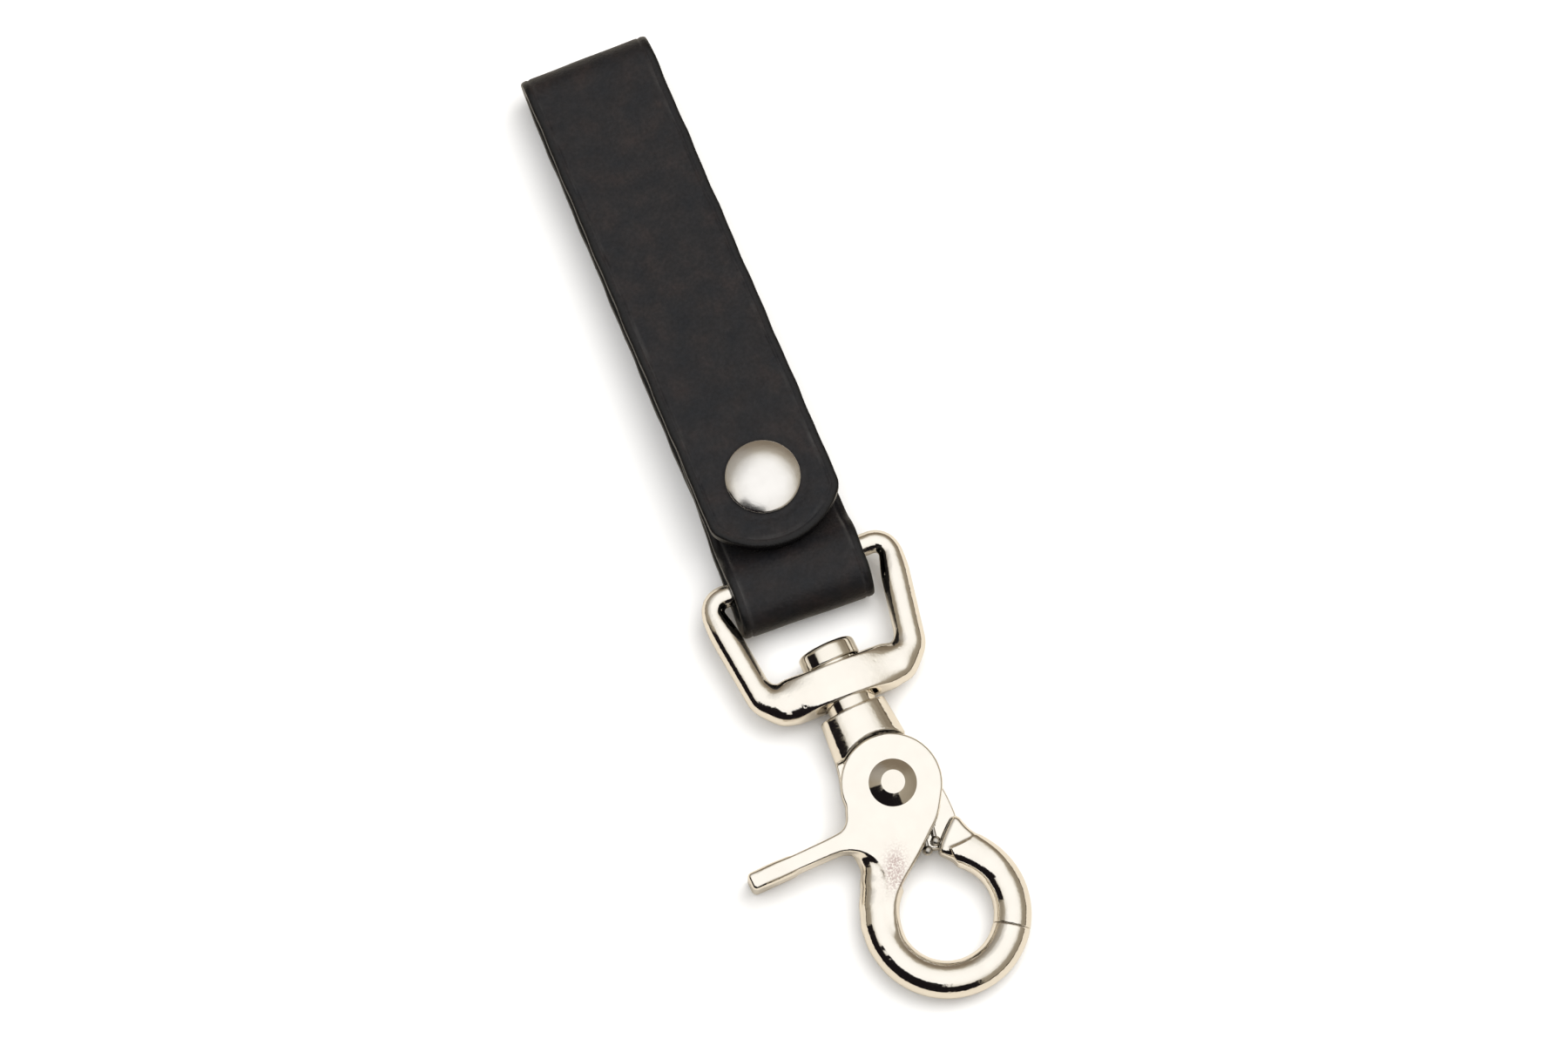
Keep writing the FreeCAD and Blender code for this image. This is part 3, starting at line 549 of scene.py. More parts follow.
# ------------------------------------------------------------------ strap course
THICK = 3.0
HALF_WIDTH = 25.4 / 2.0
FOLD_Y, FOLD_Z = (float(c) for c in (np.array(JOINTS["flap_open"]["pos_m"]) * 1000.0)[1:])
FOLD_RADIUS = FOLD_Z - THICK / 2.0
FOLD_BULGE = 0.55
FLAP_UNDER = 2 * FOLD_Z - THICK        # height of the flap's underside at the fold
stud_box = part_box("snap_stud")
STUD_Y = (stud_box[0].y + stud_box[1].y) * 500.0
FLAP_SLOPE = math.radians(1.74)
SLOPE_COS, SLOPE_SIN = math.cos(FLAP_SLOPE), math.sin(FLAP_SLOPE)
STUD_RUN = (FOLD_Y - STUD_Y) / SLOPE_COS
FLAP_LENGTH = STUD_RUN + 13.1
FLAP_SAG = 0.35
SKEW_BACK, SKEW_LOOP = 3.6, 1.9        # degrees the back and the loop lie askew
LOOP_Y, LOOP_Z = STUD_Y - 20.0, 5.5
LOOP_RADIUS = LOOP_Z - THICK / 2.0
LOOP_TOP = LOOP_Z + LOOP_RADIUS + THICK / 2.0
CREST_Y = STUD_Y - 17.0                # the loop's top layer starts down here
MEET_Y = STUD_Y - 5.8                  # and lies on the back from here
LAYER_GAP = 0.1
TUCK_END = STUD_Y + 13.0
SPLIT_Y = -20.0                        # where the leather is split into two pieces
FLAP_STEPS, TURN_STEPS = 220, 40


def strap_path():
    """Mid line of the leather in (y, z), from the flap's free end round to the tucked end."""
    out = []
    for run in np.linspace(FLAP_LENGTH, 0.0, FLAP_STEPS)[:-1]:
        # the flap sits on the socket and sags a little between the stud and the fold
        sag = -FLAP_SAG * math.sin(math.pi * min(1.0, run / STUD_RUN)) ** 2
        height = THICK / 2.0 + sag
        out.append((FOLD_Y - run * SLOPE_COS,
                    FLAP_UNDER + run * SLOPE_SIN + height * SLOPE_COS))
    for t in np.linspace(90.0, -90.0, TURN_STEPS):
        out.append((FOLD_Y + (FOLD_RADIUS + FOLD_BULGE) * math.cos(math.radians(t)),
                    FOLD_Z + FOLD_RADIUS * math.sin(math.radians(t))))
    for y in np.linspace(FOLD_Y, LOOP_Y, 180)[1:]:
        out.append((y, THICK / 2.0))
    for t in np.linspace(-90.0, -270.0, TURN_STEPS)[1:]:
        out.append((LOOP_Y + LOOP_RADIUS * math.cos(math.radians(t)),
                    LOOP_Z + LOOP_RADIUS * math.sin(math.radians(t))))
    # over the bar, then down in two arcs to the tucked layer
    drop = LOOP_TOP - 2 * THICK - LAYER_GAP
    run = MEET_Y - CREST_Y
    radius = (run * run + drop * drop) / (4.0 * drop)
    turn = 2.0 * math.atan2(drop, run)
    inner, outer = radius - THICK / 2, radius + THICK / 2
    for t in np.linspace(0, turn, 14):
        out.append((CREST_Y + inner * math.sin(t), LOOP_TOP - radius + inner * math.cos(t)))
    for t in np.linspace(turn, 0, 14)[1:]:
        out.append((MEET_Y - outer * math.sin(t),
                    2 * THICK + LAYER_GAP + radius - outer * math.cos(t)))
    for y in np.linspace(MEET_Y, TUCK_END, 40)[1:]:
        out.append((y, 1.5 * THICK + LAYER_GAP))
    return np.array(out)


def soften(values):
    """Running mean along the path that keeps both ends in place."""
    kernel = np.hanning(13)
    kernel /= kernel.sum()
    head, tail = 2 * values[0] - values[6:0:-1], 2 * values[-1] - values[-2:-8:-1]
    return np.convolve(np.concatenate([head, values, tail]), kernel, "valid")


path = strap_path()
path_run = np.concatenate([[0], np.cumsum(np.linalg.norm(np.diff(path, axis=0), axis=1))])
STRAP_LENGTH = float(path_run[-1])
RUN = np.arange(0, STRAP_LENGTH + 0.2, 0.2)
PATH_Y, PATH_Z = (soften(np.interp(RUN, path_run, path[:, i])) for i in (0, 1))
step_y, step_z = np.gradient(PATH_Y, RUN), np.gradient(PATH_Z, RUN)
step_size = np.hypot(step_y, step_z)
# outward side: up on the flap, down on the back
OUT_Y, OUT_Z = -(step_z / step_size), step_y / step_size

# places along the strap
AT_FOLD_START = float(path_run[FLAP_STEPS - 1])
AT_FOLD_END = float(path_run[FLAP_STEPS - 1 + TURN_STEPS - 1])
AT_STUD = FLAP_LENGTH - STUD_RUN
AT_BACK = AT_FOLD_END + (FOLD_Y - STUD_Y)
AT_SPLIT = AT_FOLD_END + (FOLD_Y - SPLIT_Y)
AT_LOOP = AT_FOLD_END + (FOLD_Y - LOOP_Y)
AT_TUCK = STRAP_LENGTH - (TUCK_END - STUD_Y)


def strap_map(x, along, up):
    """Flat strap coordinates (across, along, up from the mid plane) to the row frame, in mm."""
    y = np.interp(along, RUN, PATH_Y) + up * np.interp(along, RUN, OUT_Y)
    z = np.interp(along, RUN, PATH_Z) + up * np.interp(along, RUN, OUT_Z)
    # the lower loop lies a few degrees askew of the flap
    amount = ease((along - (AT_BACK - 14.0)) / 16.0)
    turn = np.clip((along - AT_LOOP) / 12.0, 0, 1)
    angle = -np.radians(SKEW_BACK + (SKEW_LOOP - SKEW_BACK) * turn) * amount
    cos, sin = np.cos(angle), np.sin(angle)
    y = y - STUD_Y
    return np.stack([x * cos - y * sin, STUD_Y + x * sin + y * cos, z], 1)


# ------------------------------------------------------------------ strap leather
END_RADIUS, CORNER_RADIUS = 15.0, 3.9  # the flap's bowed end and its two corners
TAIL_CHAMFER = 1.0
EDGE_ROUND, BACK_ROUND = 0.85, 0.6     # edge rounding on the outward and the inward side
CREASE_IN, CREASE_WIDE, CREASE_DEEP = 1.75, 0.26, 0.17
BEVEL_DEEP = 0.16
HOLE_RADIUS = 2.2
SEAT_RADIUS, SEAT_DEEP = 5.6, 0.62     # recess for the rear post's head
# rings pressed into the leather: (radius, width, depth)
CAP_PRESS = (7.6, 0.9, 0.22)
POST_PRESS = (5.9, 0.8, 0.10)


def strap_outline():
    corner_x = HALF_WIDTH - CORNER_RADIUS
    corner_y = END_RADIUS - math.sqrt((END_RADIUS - CORNER_RADIUS) ** 2 - corner_x ** 2)
    meet = math.atan2(corner_y - END_RADIUS, corner_x)
    right = [(END_RADIUS * math.cos(t), END_RADIUS + END_RADIUS * math.sin(t))
             for t in np.linspace(-math.pi / 2, meet, 24)]
    right += [(corner_x + CORNER_RADIUS * math.cos(t), corner_y + CORNER_RADIUS * math.sin(t))
              for t in np.linspace(meet, 0, 10)[1:]]
    right += [(HALF_WIDTH, STRAP_LENGTH - TAIL_CHAMFER), (HALF_WIDTH - TAIL_CHAMFER, STRAP_LENGTH)]
    # mirrored, without a second point at the tip
    return np.array(right + [(-x, y) for x, y in right[:0:-1]])


STRAP = outline_field(strap_outline(), (-16.0, -3.0), (16.0, STRAP_LENGTH + 3.0), 0.2)


def ripple(x, along):
    return (0.07 * np.sin(x * 0.31 + along * 0.11 + 0.7) * np.sin(along * 0.173 + 1.3)
            + 0.045 * np.sin(x * 0.52 - along * 0.29)
            + 0.03 * np.sin(along * 0.61 + x * 0.23 + 2.0))


def pressed(distance, radius, width, depth):
    return depth * np.exp(-((distance - radius) / width) ** 2)


def strap_field(x, along, up):
    wobble = 0.06 * np.sin(along * 0.37 + 0.4 * np.sign(x)) + 0.04 * np.sin(along * 0.83 + 1.1)
    side = STRAP(x, along) + wobble * np.clip((along - 6) / 10, 0, 1)
    inside = -side
    # crease line beside the edge on the outward side, the border beyond it bevelled down
    groove = pressed(inside, CREASE_IN, CREASE_WIDE, CREASE_DEEP)
    border = BEVEL_DEEP * np.clip((CREASE_IN - inside) / CREASE_IN, 0, 1) ** 1.5
    from_cap = length(x, along - AT_STUD)
    from_post = length(x, along - AT_BACK)
    top = THICK / 2.0 - groove - border
    top = top - pressed(from_cap, *CAP_PRESS) - pressed(from_post, *POST_PRESS)
    bottom = THICK / 2.0 - 0.05 * np.clip((1.2 - inside) / 1.2, 0, 1)
    wave = ripple(x, along) * 0.5
    solid = common(rounded(EDGE_ROUND, side, up - top - wave),
                   rounded(BACK_ROUND, side + (EDGE_ROUND - BACK_ROUND), -up - bottom + wave),
                   side)
    for distance in (from_cap, from_post, length(x, along - AT_TUCK)):
        solid = carve(solid, distance - HOLE_RADIUS)
    return carve(solid, from_post - SEAT_RADIUS, THICK / 2.0 - SEAT_DEEP - up)


def strap_spacing(along):
    """Grid step along the strap: fine at the ends, round the holes and in the fold."""
    if along < 6.5 or along > STRAP_LENGTH - 2.5:
        return 0.2
    if abs(along - AT_STUD) < 9.2 or abs(along - AT_BACK) < 7.0:
        return 0.3
    if abs(along - AT_TUCK) < 3.0 or AT_FOLD_START - 2 < along < AT_FOLD_END + 2:
        return 0.4
    return 0.62


def strap_lines():
    fine, coarse, margin = 0.17, 0.42, 0.8
    across = np.concatenate([np.arange(-HALF_WIDTH - 0.6, -HALF_WIDTH + 3.0, fine),
                             np.arange(-HALF_WIDTH + 3.0, HALF_WIDTH - 2.9, coarse),
                             np.arange(HALF_WIDTH - 2.9, HALF_WIDTH + 0.7, fine)])
    along = [-margin]
    while along[-1] < STRAP_LENGTH + margin:
        along.append(along[-1] + strap_spacing(along[-1]))
    return across, np.array(along), np.arange(-THICK / 2.0 - 0.45, THICK / 2.0 + 0.5, fine)


flat, strap_quads = mesh_field(strap_field, strap_lines(), nudge=0.04)
inside = -STRAP(flat[:, 0], flat[:, 1])
STRAP_VALUES = {
    "edge": np.clip((1.55 - inside) / 0.7, 0, 1),
    "crease": np.exp(-((inside - 1.95) / 0.30) ** 2) * (flat[:, 2] > 0.8),
    "flesh": (flat[:, 2] < -1.25) * np.clip((inside - 0.8) / 0.5, 0, 1)}
strap_points = strap_map(flat[:, 0], flat[:, 1], flat[:, 2])
quad_along = flat[strap_quads][:, :, 1].mean(1)


def strap_piece(name, keep):
    used, quads = np.unique(strap_quads[keep], return_inverse=True)
    ob = quad_object(name, strap_points[used], quads.reshape(-1, 4))
    for key, values in STRAP_VALUES.items():
        add_values(ob.data, key, values[used])
    finish_with(ob, LEATHER)
    return ob, used


upper, upper_used = strap_piece("leather_flap_and_fold", quad_along < AT_SPLIT)
lower, _ = strap_piece("leather_back_and_loop", quad_along >= AT_SPLIT)
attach(lower, "strap")
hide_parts("strap_back_loop")
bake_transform(upper)
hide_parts("strap_fold", "strap_flap")

# ------------------------------------------------------------------ press stud
# on the flap's outward face, tilted with its slope
CAP_ROTATION = np.array([[1, 0, 0], [0, SLOPE_COS, SLOPE_SIN], [0, -SLOPE_SIN, SLOPE_COS]])
cap_base = np.array([0.0, FOLD_Y - STUD_RUN * SLOPE_COS, FLAP_UNDER + STUD_RUN * SLOPE_SIN])
CAP = (CAP_ROTATION, cap_base + CAP_ROTATION @ np.array([0, 0, THICK]))
DOME_RADIUS, DOME_BASE, DOME_RISE, DOME_STEPS = 6.72, 0.62, 1.66, 32

cap_profile = []
for k in range(DOME_STEPS + 1):
    radius = DOME_RADIUS * k / DOME_STEPS
    cap_profile.append((radius, DOME_BASE + DOME_RISE * (1 - (radius / 6.75) ** 2.35)))
# rim, then the hollow underside: (radius, height)
cap_profile += [
    (6.86, 0.50), (6.9, 0.30), (6.82, 0.10), (6.6, 0.0), (6.4, 0.0), (6.2, 0.02), (6.0, 0.12),
    (5.95, 0.45), (5.8, 0.62), (4.0, 1.05), (0.0, 1.35)]
fit(lathe("snap_cap", cap_profile, CAP, steps=192), SNAP_METAL, "flap", "snap_cap_shell")
for name in ("snap_cap_barrel", "snap_socket_shell", "snap_stud", "snap_rear_post"):
    finish_with(frame["nodes"][name], SNAP_METAL)
for name in ("snap_socket_spring", "trigger_spring"):
    finish_with(frame["nodes"][name], SPRING_METAL)

# ------------------------------------------------------------------ swivel eye
# wire mid line: (x, y, corner radius)
EYE_CORNERS = [(-17.5, 0.0, 2.8), (17.5, 0.0, 2.8), (14.05, -BAR_UP, 4.1), (-14.05, -BAR_UP, 3.7)]
WIRE_RADIUS, WIRE_GROWTH = 2.05, 0.62  # at the bar, and what the legs gain below it
PLATE_HALF_X, PLATE_HALF_Y, PLATE_HALF_Z, PLATE_ROUND = 13.2, 3.45, 2.75, 2.3
BOSS_X, BOSS_HALF_X, BOSS_HALF_Y, BOSS_HALF_Z, BOSS_ROUND = -0.25, 9.6, 3.4, 5.2, 0.6
EYE_BACK = -5.3
EYE_BORE = 4.57

eye_points = round_corners(EYE_CORNERS, steps=12)
EYE_LINE = FlatField(lambda x, y: np.abs(polygon_distance(x, y, eye_points)),
                     (-23, -30), (23, 6), 0.12)


def eye_field(x, y, z):
    grow = ease((np.clip(-y / BAR_UP, 0, 1) - 0.05) / 0.28)
    wire = length(EYE_LINE(x, y), z) - (WIRE_RADIUS + WIRE_GROWTH * grow)
    # base plate between the legs, its edges full and rounded
    from_plate = np.abs(y + BAR_UP)
    half = PLATE_HALF_Y + 0.10 * np.sin(x * 0.42 + 0.6)
    plate = rounded(PLATE_ROUND, np.abs(x) - PLATE_HALF_X, from_plate - half,
                    np.abs(z) - PLATE_HALF_Z)
    solid = smooth_min(wire, plate, 2.6)
    boss = rounded(BOSS_ROUND, ellipse(x - BOSS_X, z, BOSS_HALF_X, BOSS_HALF_Z),
                   from_plate - BOSS_HALF_Y)
    solid = smooth_min(solid, boss, 2.4)
    solid = np.maximum(solid, EYE_BACK - z)
    return smooth_max(solid, EYE_BORE - length(x, z), 0.25)


eye = casting("swivel_eye_casting", eye_field, (-21, -29, -6.2), (21, 4, 6.2), EYE, step=0.25)
fit(eye, HOOK_METAL, "eye", "swivel_eye")

# ------------------------------------------------------------------ swivel pin
PIN_RADIUS = 2.8
# (radius, height, corner radius), the height along y
PIN_CORNERS = [
    (0.0, 9.7, 0), (PIN_RADIUS, 9.7, 0.3), (PIN_RADIUS, 15.26, 0.2), (4.5, 15.26, 0.25),
    (4.5, 24.35, 0.15), (5.35, 24.35, 0.35), (5.35, 27.75, 0.95), (0.0, 27.75, 0)]
PIN = (HOOK[0], HOOK[1] + HOOK[0] @ np.array([PIN_X, 0, 0]))
pin = lathe("swivel_pin_turned", round_corners(PIN_CORNERS, steps=7), PIN, along_y=True)
fit(pin, PIN_METAL, "hook", "swivel_pin")

# ------------------------------------------------------------------ hook body
# the body and the trigger share one ring, parted at the seam
RING_X, RING_Y, RING_RADIUS, RING_BAR = -1.05, -24.68, 11.8, 3.36
SEAM = math.radians(-36.0)
SEAM_GAP, SEAM_ROUND = 0.05, 0.12      # half the gap between the two parts
WEB_BACK, WEB_FACE = -3.8, -0.7
RIVET_SHANK = 2.4
COLLAR_X, COLLAR_Y, COLLAR_HALF, COLLAR_ROUND = -0.65, 11.4, 3.85, 0.35
# outlines: (x, y)
JAW_POINTS = [
    (1.9, -14.3), (5.05, -11.35), (6.7, -10.0), (7.45, -9.65), (8.3, -10.35), (8.55, -11.7),
    (9.1, -13.2), (9.8, -14.4), (11.3, -17.1), (12.3, -19.6), (12.6, -22.3), (8.6, -22.6),
    (7.4, -20.6), (5.6, -18.2), (3.6, -16.2)]
WEB_POINTS = [
    (-5.6, -6.6), (7.9, -1.5), (8.3, -5.6), (8.15, -9.8), (7.7, -12.0), (5.6, -13.4),
    (2.5, -14.0), (-1.5, -10.8)]
JAW = outline_field(cut_corners(JAW_POINTS), (-2, -29), (19, -6))
# the web is joined to a disc round the pivot
WEB = FlatField(lambda x, y: np.minimum(
    length(x, y) - 9.0, polygon_distance(x, y, cut_corners(WEB_POINTS))), (-13, -19), (13, 13))


def ring_bar(x, y, z):
    return length(length(x - RING_X, y - RING_Y) - RING_RADIUS, z) - RING_BAR


def past_seam(x, y):
    return (x - RING_X) * -math.sin(SEAM) + (y - RING_Y) * math.cos(SEAM)


def body_field(x, y, z):
    # fixed part of the ring, up to the seam
    ring = smooth_max(ring_bar(x, y, z), -past_seam(x, y) + SEAM_GAP, SEAM_ROUND)
    ring = common(ring, -(x - 4.5), y + 15.0)
    # jaw: the ring's bar narrows to a flat-faced tip
    jaw = slab(JAW(x, y), z, -2.6, 2.75, 1.15)
    solid = smooth_min(ring, jaw, 1.1)
    solid = smooth_min(solid, slab(WEB(x, y), z, WEB_BACK, WEB_FACE, 0.35), 0.4)
    # neck web and oval collar that narrows towards the plate
    neck = common(np.abs(x + 0.6) - (7.1 - (y - 6.0) * 0.2), y - 10.8, 4.0 - y)
    solid = smooth_min(solid, slab(neck, z, WEB_BACK, WEB_FACE, 0.4), 0.8)
    grow = 1.0 + 0.014 * (COLLAR_Y + COLLAR_HALF - y)
    collar = rounded(COLLAR_ROUND, ellipse((x - COLLAR_X) / grow, z / grow, 6.25, 4.75),
                     np.abs(y - COLLAR_Y) - COLLAR_HALF)
    # room for the trigger's disc
    from_pivot = length(x, y)
    room = np.maximum(from_pivot - 9.5, WEB_FACE - z)
    solid = smooth_min(solid, smooth_max(collar, -room, 0.25), 0.35)
    solid = carve(solid, from_pivot - 9.42, WEB_FACE - z)
    # rivet and pin holes
    solid = carve(solid, from_pivot - RIVET_SHANK)
    return carve(solid, length(x - PIN_X, z) - PIN_RADIUS, 9.6 - y)


body = casting("hook_body_casting", body_field, (-11, -37, -5.8), (16, 17.5, 5.8), HOOK)
fit(body, HOOK_METAL, "hook", "hook_body")

# ------------------------------------------------------------------ trigger
TRIGGER_BACK = -0.6
TRIGGER_BORE = 2.46
DISC_X, DISC_Y, DISC_RADIUS = -0.2, 0.05, 9.1
# flat front face, below the disc: (x, y), up the side towards the jaw
FACE_INNER = [
    (-9.7, -21.6), (-8.3, -18.9), (-5.95, -16.7), (-3.16, -14.8), (-0.48, -12.9),
    (2.2, -10.76), (4.88, -8.7)]
# from the disc out round the lever and down the stem
FACE_OUTER = [
    (-9.7, -1.0), (-10.3, -2.6), (-11.4, -3.75), (-12.9, -4.15), (-20.0, -4.2), (-28.5, -4.1),
    (-28.6, -6.8), (-20.0, -7.1), (-14.0, -7.15), (-12.0, -7.8), (-10.1, -9.1), (-8.9, -10.7),
    (-8.3, -12.4), (-8.35, -14.0), (-8.7, -15.8), (-9.3, -17.6), (-9.9, -19.6), (-10.5, -21.8),
    (-10.9, -23.6), (-10.5, -23.9)]
# round bar behind the stem, down to the ring: (x, y, z)
STEM_BAR = [
    (-8.7, -6.7, 0.0), (-8.3, -9.6, 0.0), (-8.45, -12.5, 0.0), (-9.7, -14.9, 0.0),
    (-11.5, -18.3, 0.0), (-12.6, -21.5, 0.0), (RING_X - RING_RADIUS, RING_Y, 0.0)]
# opening beside the spring recess: (x, y)
SLOT_POINTS = [
    (-3.2, -4.6), (6.2, -0.5), (6.2, -6.0), (4.6, -13.5), (-1.4, -15.2), (-1.4, -11.0)]
disc = [(DISC_X + DISC_RADIUS * math.cos(math.radians(t)),
         DISC_Y + DISC_RADIUS * math.sin(math.radians(t))) for t in range(-34, 186, 8)]
# the points keep this order, so the outline crosses itself
FACE = outline_field(cut_corners(FACE_OUTER + FACE_INNER + disc), (-34, -27), (13, 13))
SLOT = outline_field(SLOT_POINTS, (-33, -43), (14, 13), 0.2)


def trigger_field(x, y, z):
    # the trigger's share of the ring: from the stem round the bottom to the seam
    ring = ring_bar(x, y, z)
    ring = np.where(x > RING_X, smooth_max(ring, past_seam(x, y) + SEAM_GAP, SEAM_ROUND), ring)
    stem_side = 0.788 * (x - RING_X) + 0.616 * (y - RING_Y)
    ring = np.maximum(ring, np.where(x <= RING_X, stem_side, -1e3))
    # the flat face sinks into the ring's round bar at its lower end
    low = np.clip((-16.5 - y) / 6.5, 0, 1)
    sink = 1.3 * low * low
    face_outline = FACE(x, y)
    face = slab(face_outline, z, TRIGGER_BACK, 3.6 - sink, 0.5)
    stem = slab(smooth_max(face_outline - 0.1, y + 7.0, 0.5), z, -2.9, 3.3 - sink, 0.6)
    solid = smooth_min(face, stem, 0.3)
    bar = 1e3
    for start, end in zip(STEM_BAR[:-1], STEM_BAR[1:]):
        bar = smooth_min(bar, segment(x, y, z, start, end, 3.1, 3.3), 0.25)
    solid = smooth_min(solid, smooth_min(bar, ring, 0.5), 0.8 + 0.9 * low)
    # thumb lever: a rib behind the face, flared in depth to a thumb pad
    rib = segment(x, y, z, (-9.5, -5.9, 0.2), (-25.5, -5.65, 0.3), 1.75, 1.5)
    solid = smooth_min(solid, rib, 0.8)
    flare = np.clip((-20.0 - x) / 8.0, 0, 1)
    pad = rounded(0.9, np.abs(x + 26.2) - 4.3,
                  np.abs(y + 5.6 + 0.02 * (x + 26)) - 1.35 - 0.35 * flare,
                  np.abs(z + 0.3) - (2.9 + 1.4 * flare))
    solid = smooth_min(solid, pad, 1.2)
    # room for the plate, the web and the jaw
    from_pivot = length(x, y)
    solid = carve(solid, from_pivot - 9.25, z - TRIGGER_BACK)
    solid = carve(solid, WEB(x, y) - 0.3, z - TRIGGER_BACK)
    solid = carve(solid, JAW(x, y) - 0.12, np.abs(z) - 3.2)
    # spring recess and bore
    solid = carve(solid, np.abs(from_pivot - 5.35) - 0.95, z - 2.5, -z - 2.0)
    solid = carve(solid, SLOT(x, y), z - 1.6, -z - 2.0)
    return carve(solid, from_pivot - TRIGGER_BORE)


def worn_patch(mesh):
    """Weight of the worn oval on the front of the stem."""
    points = np.empty(len(mesh.vertices) * 3)
    mesh.vertices.foreach_get("co", points)
    x, y, z = ((points.reshape(-1, 3) * 1000.0 - HOOK[1]) @ HOOK[0]).T
    across = (x + 6.3 - (y + 14.3) * 0.35) / 1.9
    along = (y + 14.3) / 3.0
    return np.clip(1.5 * np.exp(-across ** 2 - along ** 2), 0, 1) * (z > 1.2)


trigger = casting("trigger_casting", trigger_field, (-31.5, -40.5, -5.6), (14.0, 10.2, 5.0), HOOK)
add_values(trigger.data, "worn", worn_patch(trigger.data))
fit(trigger, HOOK_METAL, "trigger", "trigger")

# ------------------------------------------------------------------ pivot rivet
# (radius, height, corner radius), the height along z
RIVET_CORNERS = [
    (0.0, -4.15, 0), (3.1, -4.15, 0.12), (3.3, -3.82, 0.05), (RIVET_SHANK, -3.82, 0.05),
    (RIVET_SHANK, 3.65, 0.03), (4.3, 3.65, 0.03), (4.3, 3.83, 0.08), (2.12, 5.1, 0.10),
    (0.0, 5.1, 0)]
rivet = lathe("pivot_rivet_turned", round_corners(RIVET_CORNERS, steps=4), HOOK)
fit(rivet, PIN_METAL, "hook", "pivot_rivet")

# ------------------------------------------------------------------ camera (metres)
scene = bpy.context.scene
scene.view_settings.view_transform = "Standard"
scene.view_settings.look = "None"

CAMERA_TURN, CAMERA_TILT = math.radians(22.329), math.radians(14.0)  # about z, off vertical
CAMERA_DISTANCE = 0.7
AIM_RIGHT, AIM_DOWN = 0.002260326, 0.002639816
Z_UP = Vector((0, 0, 1))
right = Vector((math.cos(CAMERA_TURN), -math.sin(CAMERA_TURN), 0))
level = Vector((math.sin(CAMERA_TURN), math.cos(CAMERA_TURN), 0))
forward = level * math.sin(CAMERA_TILT) - Z_UP * math.cos(CAMERA_TILT)
up = level * math.cos(CAMERA_TILT) + Z_UP * math.sin(CAMERA_TILT)


def view_dir(rightward, away, upward):
    """Unit direction from parts along the view's right, its level far side and z."""
    return tuple(float(c) for c in unit(right * rightward + level * away + Z_UP * upward))


camera_data = bpy.data.cameras.new("camera")
camera = link_object("camera", camera_data)
camera_data.sensor_width = 36.0
camera_data.lens = 88.466
camera_data.clip_start, camera_data.clip_end = 0.05, 20.0
aim = Vector((0, -0.050, 0.005)) + right * AIM_RIGHT - up * AIM_DOWN
axes = Matrix((right, up, -forward)).transposed().to_4x4()
camera.matrix_world = Matrix.Translation(aim - forward * CAMERA_DISTANCE) @ axes
scene.camera = camera


# ------------------------------------------------------------------ floor
def make_floor(points=40, half=1.6, centre_y=-0.05, height=-0.0006):
    """A wide flat pale sheet; glossy rays see it painted darker and warmer, a painted shade in
    reflections.
    """
    line = np.linspace(-1, 1, points)
    verts = [(x * half, y * half + centre_y, height) for x in line for y in line]
    faces = []
    for i, j in product(range(points - 1), repeat=2):
        a, b = i * points + j, (i + 1) * points + j
        faces.append((a, b, b + 1, a + 1))
    mesh = bpy.data.meshes.new("floor")
    mesh.from_pydata(verts, [], faces)
    floor = link_object("floor", mesh)
    material, shader = new_material("floor_paper")
    paper = shader.ramp(shader.noise(scale=60.0, detail=3.0),
                        (0.3, (0.93, 0.93, 0.93)), (0.7, (0.945, 0.945, 0.945)))
    # painted reflection: in glossy rays the floor turns darker and warmer, standing in for the
    # shadowed floor near the parts
    glossy = shader.add("LightPath").outputs["Is Glossy Ray"]
    shader.surface({"Base Color": shader.mix(glossy, paper, (0.66, 0.61, 0.53)),
                    "Roughness": 0.85, "Specular IOR Level": 0.2})
    mesh.materials.append(material)


make_floor()


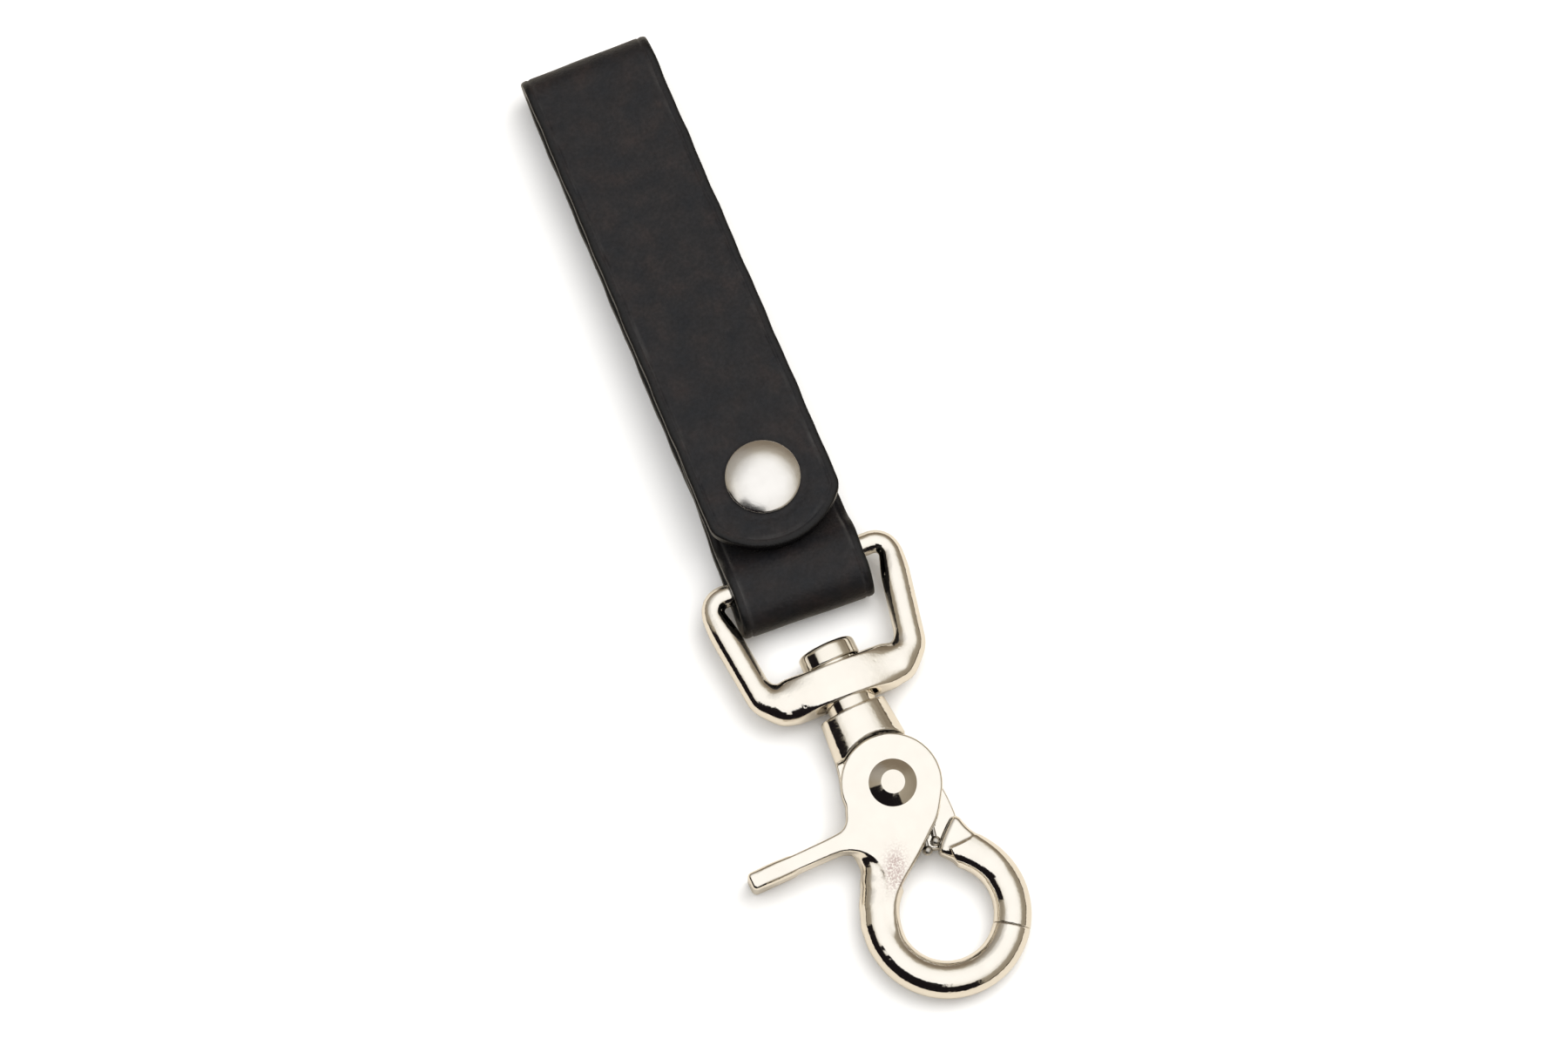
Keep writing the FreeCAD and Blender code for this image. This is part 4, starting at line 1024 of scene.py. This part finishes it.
# ------------------------------------------------------------------ world
def make_world():
    """Pale studio with a dark room on the camera's near side."""
    world = bpy.data.worlds.new("studio")
    scene.world = world
    world.use_nodes = True
    shader = Shader(world.node_tree, "Generated")

    def towards(direction):
        node = shader.add("VectorMath")
        node.operation = "DOT_PRODUCT"
        shader.feed(node.inputs[0], shader.coords)
        node.inputs[1].default_value = direction
        return node.outputs["Value"]

    height = towards((0, 0, 1))
    near = towards(view_dir(-0.44, -0.90, 0))
    far_left = towards(view_dir(-0.62, 0.55, 0.62))
    # height bands: dark line at the horizon, tan walls, white overhead
    sky = shader.ramp(
        height, (0.00, (0.06, 0.045, 0.033)), (0.06, (0.08, 0.06, 0.043)),
        (0.13, (0.33, 0.285, 0.215)), (0.35, (0.30, 0.26, 0.20)), (0.58, (0.40, 0.355, 0.285)),
        (0.70, (0.86, 0.83, 0.775)), (0.84, (1.06, 1.045, 1.02)), (1.0, (1.12, 1.105, 1.085)))
    # the far wall is browner low down
    low_far = shader.math("MULTIPLY",
                          shader.ramp(towards(view_dir(0, 1, 0)), (0.45, 0.0), (0.75, 1.0)),
                          shader.ramp(height, (0.36, 1.0), (0.52, 0.0)))
    sky = shader.mix(shader.math("MULTIPLY", low_far, 0.70), sky, (0.20, 0.155, 0.11))
    # a grey panel up and to the left
    panel = shader.ramp(far_left, (0.86, 0.0), (0.97, 1.0))
    sky = shader.mix(shader.math("MULTIPLY", panel, 0.40), sky, (0.42, 0.41, 0.40))
    # dark room on the near side: wide at the bottom, narrower higher up
    square = shader.math("SUBTRACT", 1.0001, shader.math("MULTIPLY", height, height))
    turned = shader.math("DIVIDE", near, shader.math("SQRT", square))
    # (start and end of the edge in turn, start and end of the fade in height)
    bands = [shader.math("MULTIPLY", shader.ramp(turned, (outer, 0.0), (inner, 1.0)),
                         shader.ramp(height, (0.004, 0.0), (0.02, 1.0), (full, 1.0), (gone, 0.0)))
             for outer, inner, full, gone in ((0.50, 0.56, 0.60, 0.66), (0.84, 0.88, 0.80, 0.85))]
    sky = shader.mix(shader.math("MAXIMUM", *bands), sky, (0.010, 0.008, 0.009))
    background = next(n for n in world.node_tree.nodes if n.type == "BACKGROUND")
    shader.feed(background.inputs["Color"], sky)
    background.inputs["Strength"].default_value = 1.0


make_world()


# ------------------------------------------------------------------ lights
def area(name, direction, distance, size, energy, color):
    """Square light facing the product, hidden from reflections."""
    data = bpy.data.lights.new(name, "AREA")
    data.shape = "RECTANGLE"
    data.size = data.size_y = size
    data.energy = energy
    data.color = color
    light = link_object(name, data)
    direction = Vector(direction)
    light.location = Vector((0, -0.05, 0)) + direction * distance
    light.visible_glossy = False
    light.rotation_mode = "QUATERNION"
    light.rotation_quaternion = direction.to_track_quat("Z", "Y")


area("key", direction=view_dir(0.50, 0.45, 1.2), distance=1.2, size=0.9, energy=10.0,
     color=(1.0, 0.99, 0.975))
area("fill", direction=view_dir(-0.3, -0.1, 1.3), distance=1.3, size=1.1, energy=6.0,
     color=(0.98, 0.99, 1.0))
